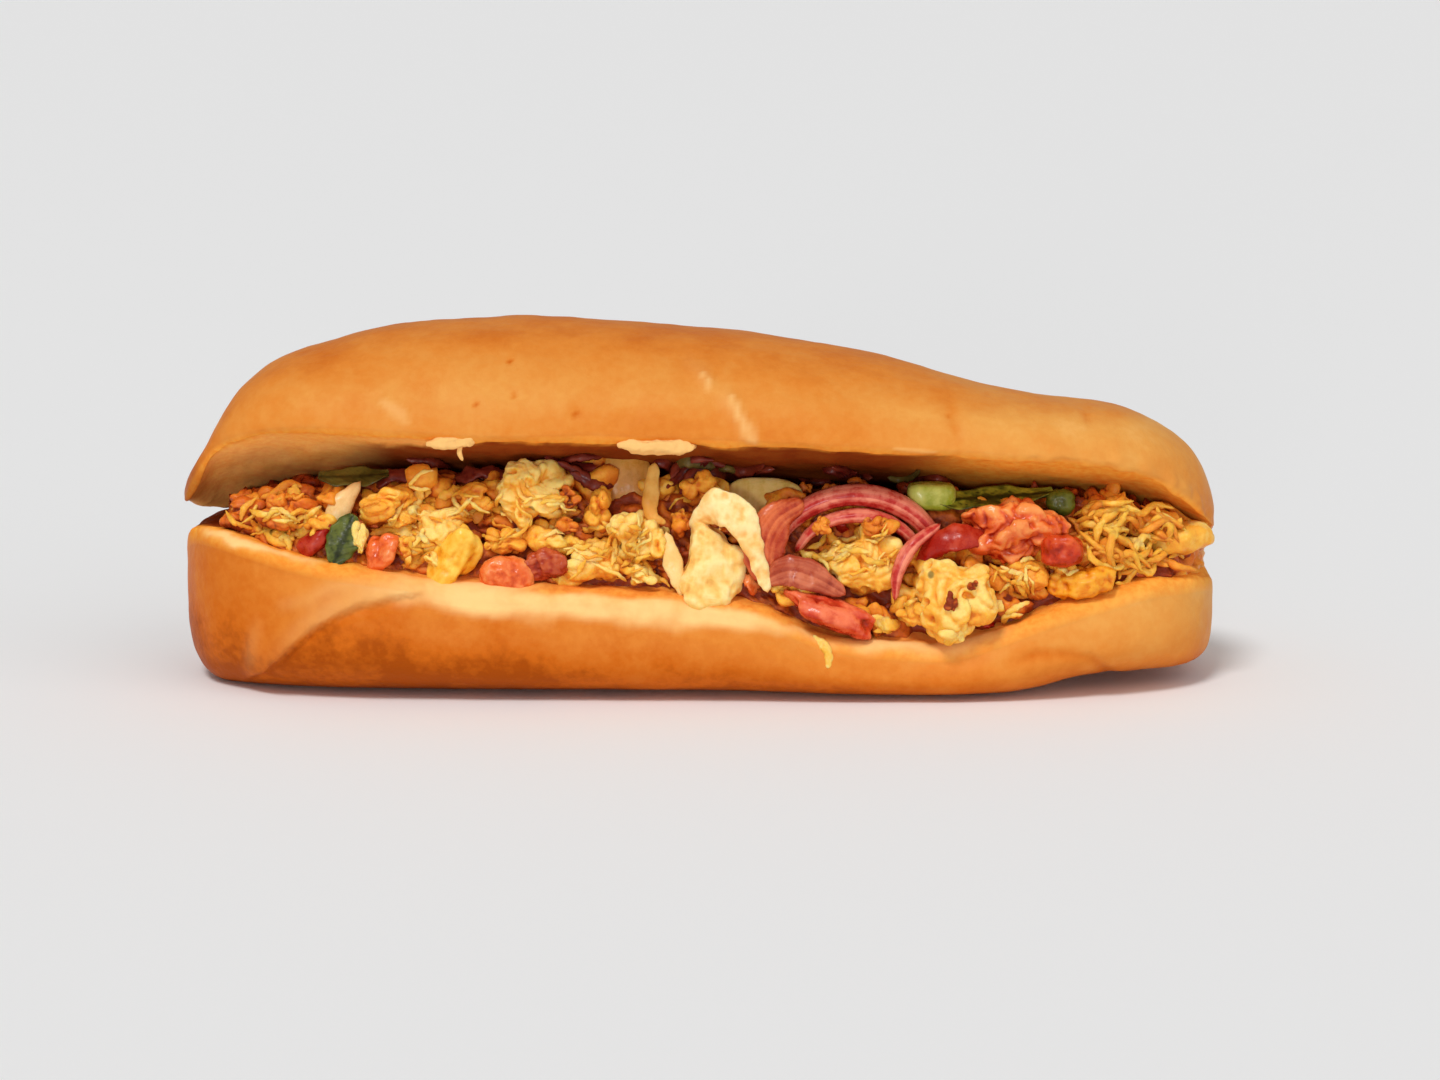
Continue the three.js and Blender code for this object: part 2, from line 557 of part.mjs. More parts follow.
// Every topping as large as a berry, from left to right
const TOPPINGS = [
  lump('tomato_left_end', TOMATO_SKIN,
    { at: [-75.8, -26.2, 31.4], half: [4.2, 2.8, 2.4], turn: [0, -35, 0], seed: 3 }),
  leaf('herb_leaf_left', HERB,
    { at: [-70.4, -28.4, 31.8], long: 10, wide: 6.8, thick: 0.8, turn: [78, 0, 68], curl: 0.9 }),
  leaf('herb_leaf_upper_left', HERB,
    { at: [-69, -20, 42.6], long: 14, wide: 6, thick: 0.8, turn: [30, 0, 4] }),
  strip('white_onion_finger', WHITE_ONION, {
    path: [[-73, -25.4, 33.5], [-71, -25, 37.6], [-67.6, -22, 42]],
    face: [0, -1, 0], wide: 5, thick: 2.6,
  }),
  lump('tomato_left', TOMATO,
    { at: [-62.8, -28.6, 29.4], half: [3.6, 2.8, 3.2], turn: [0, 20, 10], boxy: 1.6, seed: 5 }),
  strip('red_onion_sliver_left', DARK_ONION, {
    path: [[-66, -17, 41], [-59.5, -20, 42.6], [-53, -18.5, 42]],
    face: [0, -1, 1], wide: 4.4, thick: 2,
  }),
  lump('yellow_pepper_left', YELLOW_PEPPER,
    { at: [-48.4, -28.8, 28], half: [3.4, 2.6, 5.6], turn: [0, 28, 0], boxy: 1.5, seed: 8 }),
  strip('red_onion_sliver_middle', DARK_ONION, {
    path: [[-49, -19, 42.4], [-43, -21, 43.6], [-38, -19, 42.6]],
    face: [0, -1, 1], wide: 4.4, thick: 2,
  }),
  lump('tomato_middle', TOMATO,
    { at: [-38.6, -29.6, 24.4], half: [4.8, 3.2, 3.3], turn: [0, 8, 0], boxy: 1.5, seed: 13 }),
  lump('tomato_skin_middle', TOMATO_SKIN,
    { at: [-30.4, -29, 26.8], half: [4.4, 2.6, 2.7], turn: [0, -12, 0], seed: 14 }),
  lump('white_onion_slice_left', WHITE_ONION,
    { at: [-15.6, -19, 42], half: [6, 1.4, 4.8], turn: [-12, 0, 0], boxy: 1.6, rough: 0.05, seed: 21 }),
  strip('omelette_strip', OMELETTE, {
    path: [[-9.2, -27, 33.5], [-9.8, -26, 38.5], [-8.6, -24, 43], [-6.6, -22.4, 46]],
    face: [0, -1, 0], wide: 4, thick: 2,
  }),
  strip('omelette_corner', OMELETTE, {
    path: [[-4.6, -31.6, 21.6], [-5.6, -30.6, 27], [-6.6, -28.4, 33]],
    face: [0, -1, 0], wide: 4.6, thick: 2, tip: 0.12,
  }),
  lump('egg_white_block', OMELETTE, {
    at: [2.6, -29.6, 26.4], half: [6.4, 3.8, 6.6], turn: [0, 6, 0],
    boxy: 1.7, rough: 0.14, seed: 26, detail: 6,
  }),
  strip('omelette_fold', OMELETTE, {
    path: [[-0.6, -29, 36.4], [5, -31.2, 38.4], [9.8, -31.4, 35.4], [11.6, -32, 29], [13.4, -32, 22.4]],
    face: [0.1, -1, 0.2], wide: 5.6, thick: 2, tip: 0.5, steps: 10,
  }),
  lump('white_onion_slice_right', WHITE_ONION,
    { at: [13, -20, 38], half: [7.6, 1.4, 4.4], turn: [-20, 0, 0], boxy: 1.6, rough: 0.05, seed: 22 }),
  lump('onion_wall', PINK_ONION,
    { at: [16.8, -27, 30.4], half: [4.6, 1.8, 6.8], turn: [0, 20, 0], boxy: 1.2, seed: 29 }),
  lump('onion_petal', PINK_ONION,
    { at: [21.4, -30.2, 22.6], half: [8, 1.9, 4.2], turn: [-8, 14, 0], boxy: 1.2, seed: 31 }),
  strip('onion_ring_outer', PINK_ONION, {
    path: arcPath({ centre: [31, -23.6, 25], wide: 17.4, tall: 14, from: 165, to: 10 }),
    face: [0, -1, 0], wide: 3, thick: 5.6, tip: 0.6, steps: 12,
  }),
  strip('onion_ring_inner', PINK_ONION, {
    path: arcPath({ centre: [32, -25, 25], wide: 12.6, tall: 9.6, from: 150, to: 25 }),
    face: [0, -1, 0], wide: 2.4, thick: 5, tip: 0.6, steps: 9,
  }),
  lump('tomato_lip', TOMATO,
    { at: [26.4, -32, 17], half: [9, 3.2, 2.8], turn: [0, 19, 0], rough: 0.16, seed: 34 }),
  strip('onion_arc_right', PINK_ONION, {
    path: [[38.4, -31, 21.6], [39.2, -31.6, 26], [42, -31, 31], [47, -28.4, 34.4]],
    face: [0, -1, 0], wide: 2.2, thick: 3, tip: 0.5,
  }),
  lump('green_pepper_piece', GREEN_PEPPER,
    { at: [46.4, -19.5, 39], half: [5, 3.2, 2.7], turn: [0, 2, 0], boxy: 2, rough: 0.05, seed: 37 }),
  strip('tomato_skin', TOMATO_SKIN, {
    path: [[44.6, -29.6, 28.4], [48.4, -30.6, 32], [53, -30.2, 32], [57, -29, 29]],
    face: [0, -1, 0.7], wide: 6, thick: 2.2, tip: 0.4,
  }),
  leaf('herb_leaf_right', HERB,
    { at: [58, -20.6, 38], long: 25, wide: 7.5, thick: 0.9, turn: [24, -3, 2], curl: 1.2 }),
  lump('tomato_chunk', TOMATO, {
    at: [66, -26, 33], half: [10, 5.8, 6.3], turn: [0, 10, 0],
    boxy: 1.4, rough: 0.18, seed: 41, detail: 6,
  }),
  lump('tomato_heart', TOMATO_SKIN,
    { at: [73.8, -30, 28.8], half: [4.8, 3.2, 3.8], seed: 43 }),
  lump('yellow_pepper_right', YELLOW_PEPPER,
    { at: [75.4, -28.8, 22.6], half: [5.6, 2.8, 2.6], turn: [0, -16, 0], boxy: 1.5, seed: 47 }),
  lump('herb_leaf_right_end', HERB,
    { at: [72, -21.6, 38.2], half: [3, 2, 2.6], seed: 49 }),
];

// Torn flakes of skin along the lid's lip, grown into the roll
const FLAKES = [
  { at: [-48.5, -33.6, 51.9], half: [4.6, 1.6, 1.2], turn: [0, -2, 0], seed: 51 },
  { at: [-7.6, -33.8, 51.2], half: [7.4, 1.7, 1.5], turn: [0, 1, 0], seed: 52 },
];

// The largest connected body of a cut solid
function largest(solid) {
  const bodies = solid.decompose();
  return bodies.reduce((best, body) => (body.volume() > best.volume() ? body : best));
}

function meshOf(name, solid, finish) {
  const made = solid.getMesh();
  const geometry = new THREE.BufferGeometry();
  geometry.setAttribute('position', new THREE.BufferAttribute(made.vertProperties, 3));
  geometry.setIndex(new THREE.BufferAttribute(made.triVerts, 1));
  geometry.computeVertexNormals();
  const mesh = new THREE.Mesh(geometry, new THREE.MeshStandardMaterial({ ...finish, metalness: 0 }));
  mesh.name = name;
  return mesh;
}

// The bread with its flakes, or the same grown by a margin
const bread = (margin) =>
  wasm.Manifold.union([
    rollHalf(baseSection, BASE_PLAN, BASE_TAPER, margin),
    rollHalf(lidSection, LID_PLAN, LID_TAPER, margin),
    ...FLAKES.map((flake) => lumpySolid(flake, margin)),
  ]);

const sandwich = new THREE.Group();
sandwich.name = 'shakshuka_sandwich';
sandwich.add(meshOf('roll', bread(0), { color: '#dd8f42', roughness: 0.42 }));

// Each topping is cut to clear the bread and the toppings before it
const clearOfBread = bread(GAP);
const grownToppings = [];
for (const { name, finish, shape, make } of TOPPINGS) {
  const taken = wasm.Manifold.union([clearOfBread, ...grownToppings]);
  sandwich.add(meshOf(name, largest(make(shape, 0).subtract(taken)), finish));
  grownToppings.push(make(shape, GAP));
}

// The curds are trimmed to the bread and fused to the heap, which is cut round the toppings
const curds = [
  ...MAIN_CURDS.map((curd, i) => curdSolid({ ...curd, seed: i + 1 })),
  ...looseCurds().map(curdSolid),
];
const heap = heapSolid().add(wasm.Manifold.union(curds).subtract(clearOfBread));
const egg = largest(heap.subtract(wasm.Manifold.union(grownToppings)));
sandwich.add(meshOf('egg_scramble', egg, { color: '#e6b45c', roughness: 0.5 }));

export default sandwich;
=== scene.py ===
"""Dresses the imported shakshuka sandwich: bread, scrambled egg, toppings, light and camera.

Shapes are worked out as whole numpy arrays in millimetres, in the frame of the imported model, and
go into their meshes in metres. The roll lies along X, its mouth opens towards -Y and +Z is up.
"""

import itertools
import json
import math

import bmesh
import bpy
import numpy as np
from mathutils import Euler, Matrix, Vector
from mathutils.bvhtree import BVHTree

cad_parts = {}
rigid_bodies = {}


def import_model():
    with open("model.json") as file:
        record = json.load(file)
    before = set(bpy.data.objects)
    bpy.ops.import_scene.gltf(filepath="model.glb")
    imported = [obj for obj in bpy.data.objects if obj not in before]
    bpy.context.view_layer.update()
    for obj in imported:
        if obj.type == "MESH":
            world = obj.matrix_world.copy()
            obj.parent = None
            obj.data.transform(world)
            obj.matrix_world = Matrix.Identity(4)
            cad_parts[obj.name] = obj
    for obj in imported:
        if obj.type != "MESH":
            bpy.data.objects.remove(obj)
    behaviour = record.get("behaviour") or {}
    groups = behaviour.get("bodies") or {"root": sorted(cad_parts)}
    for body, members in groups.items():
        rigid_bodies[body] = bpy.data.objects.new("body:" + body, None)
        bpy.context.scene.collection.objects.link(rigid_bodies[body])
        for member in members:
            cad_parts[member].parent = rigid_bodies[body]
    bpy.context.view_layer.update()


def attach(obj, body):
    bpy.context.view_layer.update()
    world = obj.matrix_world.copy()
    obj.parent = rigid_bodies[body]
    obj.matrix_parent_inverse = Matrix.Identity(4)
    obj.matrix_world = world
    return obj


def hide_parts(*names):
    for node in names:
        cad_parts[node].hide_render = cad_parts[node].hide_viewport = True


bl_info = {
    "name": "Shakshuka sandwich",
    "version": (1, 0, 0),
    "blender": (4, 5, 0),
    "location": "3D View > Sidebar > Sandwich",
    "description": "Bread, scrambled egg and toppings of a filled roll",
    "category": "Add Mesh",
}

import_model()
MM = 0.001
BODY = "root"

# Heights along the roll, as (place, height) pairs
CROWN = (
    (-105, 41), (-101, 45.6), (-97, 52.5), (-92, 60), (-86, 65), (-77, 68.3), (-60, 71.6),
    (-40, 73), (-16, 72), (13, 69.4), (42, 64.2), (58, 60), (68, 58.2), (80, 57.2), (88, 54.6),
    (96, 49.6), (101, 45), (105, 38),
)
LID_RIM = (
    (-105, 35), (-101, 42.5), (-97, 48.2), (-89, 52), (-78, 53.8), (-59, 53.2), (-39, 52.4),
    (-22, 52.6), (0, 51.8), (20, 51), (40, 50), (59, 48.8), (78, 47), (89, 43.8), (98, 38),
    (105, 30),
)
BASE_RIM = (
    (-105, 33), (-96, 32.3), (-89, 31), (-79, 28.6), (-59, 25.8), (-49, 24), (-36, 22.8),
    (-24, 22.8), (0, 21), (12, 18.6), (26, 13.5), (40, 11.7), (50, 11.7), (59, 14.3), (69, 17.9),
    (79, 20.7), (90, 23), (105, 22.5),
)
HINGE = ((-105, 31), (-90, 30.5), (-60, 29.5), (0, 28), (60, 27), (90, 25.4), (105, 22.8))
FOLD = (
    (-98, -3), (-90, 3), (-84, 8), (-78.7, 13), (-74.7, 16), (-69.8, 18.6), (-62.9, 20.6),
    (-55.1, 22.6), (-50, 24.4),
)
HEAP_TOP = (
    (-96, 35.5), (-85, 38.5), (-70, 41), (-40, 42), (-33, 43), (-20, 41), (0, 41.5), (15, 38.5),
    (30, 38.5), (45, 37), (60, 38), (75, 38), (88, 35), (97, 31.5), (103, 28.5),
)

# The roll in mm, with the powers and shares of its profiles
HALF_LENGTH = 105.0
SLIT_END = 25.0
HINGE_LAP = 2.5
LAP_START = 27.0
LAP_END = 33.0
TIP_GAP = 0.9
TIP_START = 92.0
TIP_FULL = 98.5
TIP_CRUMB = 102.0
BACK_EDGE = 35.4
BACK_TUCK = 34.6
LID_FRONT = 34.8
LID_ROUND = 1.8
LID_CUT = 0.6
LID_SKIN = 1.2
BASE_FRONT = 34.5
BASE_ROUND = 4.5
BASE_DROP = 3.5
BASE_HALF_WIDTH = 37.5
BASE_FULLNESS = 3.7
BASE_FLAT = 0.6
BASE_ROUNDING = 5.0
END_LIFT = 3.5
BASE_DETAIL = 270
LID_DETAIL = 250
LEAN_POWER = 2
TUCK_POWER = 8
SIDE_BULGE = 1.0
FOLD_SOFTNESS = 3.0
FRONT_FADE = (-8, -20)
PIT_DEPTH = 0.35
PEEL_HEIGHT = 0.3
FLAP_HEIGHT = 1.7
NOSE_PLACE = -102.5
NOSE_HEIGHT = 1.2
CORNER_START = -95.5
CORNER_LENGTH = 9.8
CORNER_HEIGHT = 8.5
BASE_PLAN = 7
LID_PLAN = 5.4
TAPER_START = 0.8
BASE_TAPER = (8.5, 0.3)
LID_TAPER = (7, 0.4)
USUAL_RIM = 22
TIP_SHARE = 0.9998
CROWDING = 0.62

# The heap of egg in mm
HEAP_LEFT = -96.0
HEAP_RIGHT = 102.5
HEAP_BACK = 22.0
HEAP_FOOT = 29.5
HEAP_BROW = 20.0
HEAP_CLEARANCE = 0.5
HEAP_SINK = 1.0
HEAP_TAPER = (12, 0.5)
FACE_POWER = 1.5

# Places along the roll where a mask starts, is full, wanes and ends
BULGE_SPAN = (-97, -78, 30, 68)
FLAP_SPAN = (-94, -84, -58, -49)
RIDGE_SPAN = (-92, -70, -58, -46)
BAND_SPAN = (-40, -26, 22, 36)
SOAK_SPAN = (-70, -60, 74, 90)
PALE_SPAN = (-70, -46, 50, 66)
LIP_SPAN = (-101, -96, -80, -72)
STAIN_AND_SHADE_SPAN = (-74, -60, 36, 62)
FADED_SPAN = (20, 70, 92, 103)
SAUCE_SPAN = (52, 60, 90, 97)

# Where a mask fades in, in mm past the rim: above 0 on the skin and below 0 on the cut face
BAND_EDGE = (4.4, 2.6)
SOAK_EDGE = (1.8, 0.4)
RAGGED_EDGE = (3.5, 0.5)
NOSE_EDGE = (5, 0.5)
LIP_EDGE = 1.9
LIP_WIDTH = 0.9
BASE_STAIN_AND_SHADE_EDGE = (-2.5, -7)
LID_STAIN_AND_SHADE_EDGE = (-1.6, -3.4)
LID_PAINTED_LIGHT_EDGE = (-1, -4)
# How pale or brown each thing makes the bread, and how soaked the thin line is
LIP_PALE = 1.5
# Painted highlight along the fold's ridge
RIDGE_HIGHLIGHT = 0.32
# Painted light on the shaded cut face under the lid's left
CUT_PAINTED_LIGHT = 0.4
# Peels: partly pale torn skin, partly painted highlights of wrinkles
PEEL_PALE_AND_HIGHLIGHT = 0.45
# Painted highlights on raised creases, painted shade in grooves and pits
CREASE_HIGHLIGHT = 0.4
CREASE_SHADE = 0.3
PIT_SHADE = 0.4
LINE_SOAK = 0.7
NOSE_DARKENING = 0.5
# The lower half's bake towards the ground is partly painted shade
BASE_BAKE_AND_SHADE = (0.58, 0.86)
LID_BAKE = (0.49, 0.72)

# Unevenness as sums of noise: height in mm, grain in mm, octaves, seed
SWELLS = ((0.55, 28, 2, 1), (0.14, 7, 3, 2))
OPEN_CRUMB = ((0.2, 3.4, 3, 4), (0.7, 16, 2, 5))
RAGGED_RIM = ((1, 6, 3, 3),)
FLAP_EDGE = ((0.9, 5, 2, 13),)
BAKE_DRIFT = ((1, 16, 3, 8),)
MASK_EDGE = ((1.3, 7, 3, 9),)
HEAP_SWELLS = ((0.8, 6, 2, 21),)

# Creases in the crust: a line of (x, z) places on the front, half width, height
CREASES = (
    (((-82, 19.4), (-77, 20.6), (-73.5, 22.8), (-67, 24.6)), 1.5, 0.7),
    (((-89.5, 6), (-88.4, 11), (-87.5, 15)), 1.6, 0.4),
    (((76.7, 8.9), (70.6, 9.9), (66.5, 10.1), (61.4, 8.3)), 1.1, -0.6),
    (((77, 9), (80, 6), (82, 4.5)), 1.1, -0.6),
    (((49, 59.5), (50, 56.5), (50.2, 53.5)), 1.1, -0.5),
    (((76.4, 57), (77, 54.5)), 0.9, -0.35),
    (((3, 64.5), (4, 60.5)), 0.9, -0.35),
    (((-2, 66), (4, 61.5), (8, 56.5), (10, 52)), 1.4, 0.4),
)
# Thin peels of torn skin: a line of (x, z) places on the front and the width
PEELS = (
    (((6.4, 60.4), (7.4, 57.8), (8.8, 55)), 1.4),
    (((8.4, 56.2), (9.6, 53.8), (10.6, 51.9)), 2.6),
    (((-62, 59.6), (-60, 58.2), (-57.4, 56)), 2.2),
    (((-59.6, 58.6), (-57.4, 57.2)), 1.4),
    (((0.6, 64), (2, 62.4), (2.2, 61)), 1.0),
    (((38, 50.8), (42, 50.4), (46, 50.1)), 0.8),
)
# Small pits: x, z and width
PITS = (
    (-24, 57.5, 0.9), (-43.8, 59.1, 0.7), (-37.4, 66.7, 0.6), (-36.4, 60.8, 0.6), (48.6, 57, 0.6),
)

# A curd's flakes, as shares of its half size
CURD_HEART = 0.48
CURD_LIMIT = 1.12
FLAKE_REACH = (0.25, 0.7)
FLAKE_RADIUS = (0.3, 0.5)
FLAKE_THICKNESS = (0.18, 0.32)
FLAKE_BLEND = 9
# Rounds of averaging that reach about a millimetre, by how finely a ball is divided
CREASE_ROUNDS = {3: 3, 4: 4, 5: 7, 6: 14}
# Curds with a longer half size than this are divided more finely
FINE_CURD = 6.7

# The large curds: middle, half size, how far from pale cream towards orange
MAIN_CURDS = (
    # The two curds at the left end are more orange as painted shade under the lid
    ((-89.4, -18, 34.6), (6.4, 5.4, 4.6), 0.76),
    ((-81.5, -22.6, 36), (6.8, 5.4, 5), 0.7),
    ((-62, -24, 37.6), (8, 6, 5), 0.28),
    ((-51.6, -26, 33.6), (8, 5.6, 6), 0.06),
    ((-33.4, -24.8, 39.6), (8, 6.4, 7.4), 0.1),
    ((-21.6, -28, 26.4), (9.4, 4.6, 5), 0.1),
    ((-12.6, -26.8, 32.2), (7, 5.6, 7), 0.08),
    ((32.8, -27.5, 28), (9.2, 6.6, 7.8), 0.18),
    ((49.6, -32.8, 21.2), (10, 8, 9.4), 0.16),
    ((64.5, -27, 23.6), (7.4, 5, 5.2), 0.44),
    ((81, -22.5, 34.6), (6.6, 5.5, 5.2), 0.3),
    ((79.5, -25, 28), (6, 5, 5), 0.5),
    ((91, -18, 33), (6, 5.5, 4.4), 0.55),
)
# Smaller curds that show by their colour or their place
ACCENT_CURDS = (
    ((-75.4, -25.4, 34.6), (4.6, 3.6, 3.4), 0.34),
    ((-52.2, -29, 28), (3, 3, 2.8), 0),
    ((-66.8, -29.4, 31.8), (1.7, 2.2, 4.4), 0.02),
    ((-57.6, -28.4, 30.6), (2.6, 2.6, 2.6), 0.34),
    ((-44.4, -24.6, 39), (4.6, 4.4, 3.6), 0.45),
    ((-26.8, -26.4, 39.4), (3.4, 3.2, 3), 0.72),
    ((-26.8, -28.6, 34.8), (3.4, 2.8, 2.2), 0.74),
    ((-30.4, -27.4, 31), (7, 4.4, 3.8), 0.26),
    ((-25, -29, 30.4), (4, 3, 2.6), 0.3),
    ((-38.6, -28, 31), (4.6, 3.6, 3.6), 0.34),
    ((-20.2, -25, 37.4), (3.6, 4.4, 5), 0.42),
    ((-11.4, -30.4, 24.8), (3.2, 3, 2.4), 0),
    ((-3.4, -26.4, 34.4), (2.8, 3, 3.4), 0.62),
    ((-0.3, -23.4, 41.4), (4.8, 4.8, 3.8), 0.44),
    ((4, -25.4, 34), (4.6, 3.6, 3), 0.86),
    ((24, -28.8, 34.6), (2.5, 2.4, 2.5), 0.62),
    ((34.6, -28.6, 34.4), (4.4, 3, 2.2), 0.56),
    ((49.6, -35, 15), (4, 3.4, 3.4), 0.06),
    ((49.2, -38.8, 21), (1.7, 1.6, 2.4), 1),
    ((53.4, -37.6, 24), (1.3, 1.4, 1.4), 0.95),
    ((42.8, -32, 17.4), (3.6, 3.4, 3.2), 0.3),
    ((58.6, -29.4, 24.6), (3.6, 3, 3.4), 0.5),
    ((71.6, -28.6, 25.4), (3.2, 3, 2.6), 0.3),
    ((87, -22.4, 27.4), (4, 3.6, 2.6), 0.66),
    ((100, -5, 29.4), (4, 6, 3), 0.42),
    ((93, -17, 25.4), (3.4, 3.6, 2.4), 0.6),
)


def mix(low, high, share):
    """The value a share of the way from low to high."""
    return low + (high - low) * share


def smooth(low, high, value):
    """0 below low, 1 above high, and an S-shaped cubic between."""
    share = np.clip((value - low) / (high - low), 0, 1)
    return share * share * (3 - 2 * share)


def within(span, place):
    """0 outside a span along the roll, 1 in its middle, and S-shaped cubics between."""
    start, full, wane, end = span
    return smooth(start, full, place) * smooth(end, wane, place)


def bell(away, width):
    """A bell curve: 1 in the middle and 1/e at the width."""
    return np.exp(-((away / width) ** 2))


def unit(vectors):
    """The vectors, each divided by its length."""
    return vectors / np.maximum(np.linalg.norm(vectors, axis=-1, keepdims=True), 1e-12)


def along(stations, place):
    """Height at each place: a cubic Hermite curve through the stations, level past both ends."""
    places, heights = np.array(stations, float).T
    slopes = np.empty_like(heights)
    slopes[1:-1] = (heights[2:] - heights[:-2]) / (places[2:] - places[:-2])
    slopes[0] = (heights[1] - heights[0]) / (places[1] - places[0])
    slopes[-1] = (heights[-1] - heights[-2]) / (places[-1] - places[-2])
    place = np.clip(place, places[0], places[-1])
    i = np.clip(np.searchsorted(places, place, side="right") - 1, 0, len(places) - 2)
    span = places[i + 1] - places[i]
    t = (place - places[i]) / span
    return (
        heights[i] * (2 * t**3 - 3 * t**2 + 1)
        + heights[i + 1] * (3 * t**2 - 2 * t**3)
        + slopes[i] * span * (t**3 - 2 * t**2 + t)
        + slopes[i + 1] * span * (t**3 - t**2)
    )


_lattice = np.random.default_rng(7)
SHUFFLE = _lattice.permutation(256)
SLOPES = unit(_lattice.normal(size=(256, 3)))


def noise(points, seed=0):
    """Gradient noise, about -1 to 1: each corner of a unit lattice has a slope of its own, and the
    eight corners round a point are blended with a quintic step."""
    cell = np.floor(points).astype(int)
    part = points - cell
    fade = part**3 * (part * (part * 6 - 15) + 10)
    total = 0
    for corner in itertools.product((0, 1), repeat=3):
        x, y, z = np.moveaxis(cell + corner, -1, 0)
        key = SHUFFLE[(SHUFFLE[(SHUFFLE[(x + 37 * seed) & 255] + y) & 255] + z) & 255]
        weight = np.prod(np.where(corner, fade, 1 - fade), axis=-1)
        total = total + weight * (SLOPES[key] * (part - corner)).sum(-1)
    return 1.6 * total


def fractal(points, octaves=3, seed=0):
    """Noise summed over octaves, each half as large and twice as high as the one before."""
    return sum(noise(points * 2**k, seed + k) / 2**k for k in range(octaves))


def waves(points, rows):
    """Noise of several heights and grains in mm, added up."""
    return sum(high * fractal(points / grain, octaves, seed) for high, grain, octaves, seed in rows)


def line_reach(x, z, line):
    """Distance from each (x, z) place to a line of straight pieces, and the share run along it."""
    spots = np.array(line, float)
    lengths = np.linalg.norm(np.diff(spots, axis=0), axis=1)
    starts = np.concatenate(([0], np.cumsum(lengths)))
    nearest = np.full(np.shape(x), 1e9)
    share = np.zeros(np.shape(x))
    for (x0, z0), (x1, z1), start, length in zip(spots[:-1], spots[1:], starts, lengths):
        t = np.clip(((x - x0) * (x1 - x0) + (z - z0) * (z1 - z0)) / length**2, 0, 1)
        away = np.hypot(x - mix(x0, x1, t), z - mix(z0, z1, t))
        share = np.where(away < nearest, (start + t * length) / starts[-1], share)
        nearest = np.minimum(nearest, away)
    return nearest, share


# Meshes
def closed_grid(rings, first, last):
    """Points and triangles of one closed skin through rings (rings, around, 3) and two poles."""
    count, around = rings.shape[:2]
    points = np.concatenate([rings.reshape(-1, 3), [first, last]])
    i = np.arange(around)
    j = (i + 1) % around
    row = np.arange(count - 1)[:, None] * around
    a, b, c, d = row + i, row + j, row + i + around, row + j + around
    tail = (count - 1) * around
    pole = np.full(around, count * around)
    faces = np.concatenate([
        np.stack([a, b, c], -1).reshape(-1, 3),
        np.stack([b, d, c], -1).reshape(-1, 3),
        np.stack([pole, j, i], -1),
        np.stack([pole + 1, tail + i, tail + j], -1),
    ])
    return points, outward(points, faces)


def outward(points, faces):
    """The triangles, turned round where the volume that they close is negative."""
    a, b, c = np.moveaxis(points[faces], 1, 0)
    return faces if (a * np.cross(b, c)).sum() > 0 else faces[:, ::-1]


def ball(detail):
    """Directions and triangles of a unit ball of near-equal facets."""
    made = bmesh.new()
    bmesh.ops.create_icosphere(made, subdivisions=detail, radius=1)
    points = np.array([v.co for v in made.verts])
    faces = np.array([[v.index for v in f.verts] for f in made.faces])
    made.free()
    return unit(points), outward(points, faces)


def join(parts):
    """Many (points, faces, layers) as one, with their faces renumbered."""
    offsets = np.cumsum([0] + [len(points) for points, *_ in parts[:-1]])
    points = np.concatenate([points for points, *_ in parts])
    faces = np.concatenate([part[1] + offset for part, offset in zip(parts, offsets)])
    layers = {key: np.concatenate([part[2][key] for part in parts]) for key in parts[0][2]}
    return points, faces, layers


def edges_of(faces):
    """Each edge of the triangles once, as its two points."""
    pairs = np.sort(np.concatenate([faces[:, :2], faces[:, 1:], faces[:, ::2]]), axis=1)
    return np.unique(pairs, axis=0)


def averaged(values, edges, rounds=1, share=1.0):
    """Each value moved by a share of the way to the mean of its neighbours, again and again."""
    a, b = edges.T
    count = len(values)
    degree = np.bincount(a, minlength=count) + np.bincount(b, minlength=count)
    columns = values.reshape(count, -1).astype(float)
    for _ in range(rounds):
        sums = np.stack([
            np.bincount(a, column[b], count) + np.bincount(b, column[a], count)
            for column in columns.T
        ], axis=1)
        means = sums / np.maximum(degree, 1)[:, None]
        columns = columns + (means - columns) * np.reshape(share, (-1, 1))
    return columns.reshape(values.shape)


def normals_of(points, faces):
    """The mean of the normals round each point, by the triangles' areas."""
    a, b, c = np.moveaxis(points[faces], 1, 0)
    flat = np.cross(b - a, c - a)
    return unit(np.stack([
        np.bincount(faces.ravel(), np.repeat(flat[:, axis], 3), len(points)) for axis in range(3)
    ], axis=1))


def hollows(points, faces, reach=0.3, rounds=8, edges=None):
    """How far each point lies behind the smoothed skin: 0 on a crest, 0.5 on a level, 1 in a
    crevice. The reach is the depth in mm that counts as full."""
    settled = averaged(points, edges_of(faces) if edges is None else edges, rounds)
    depth = ((settled - points) * normals_of(points, faces)).sum(1)
    return np.clip(0.5 + 0.5 * depth / reach, 0, 1)


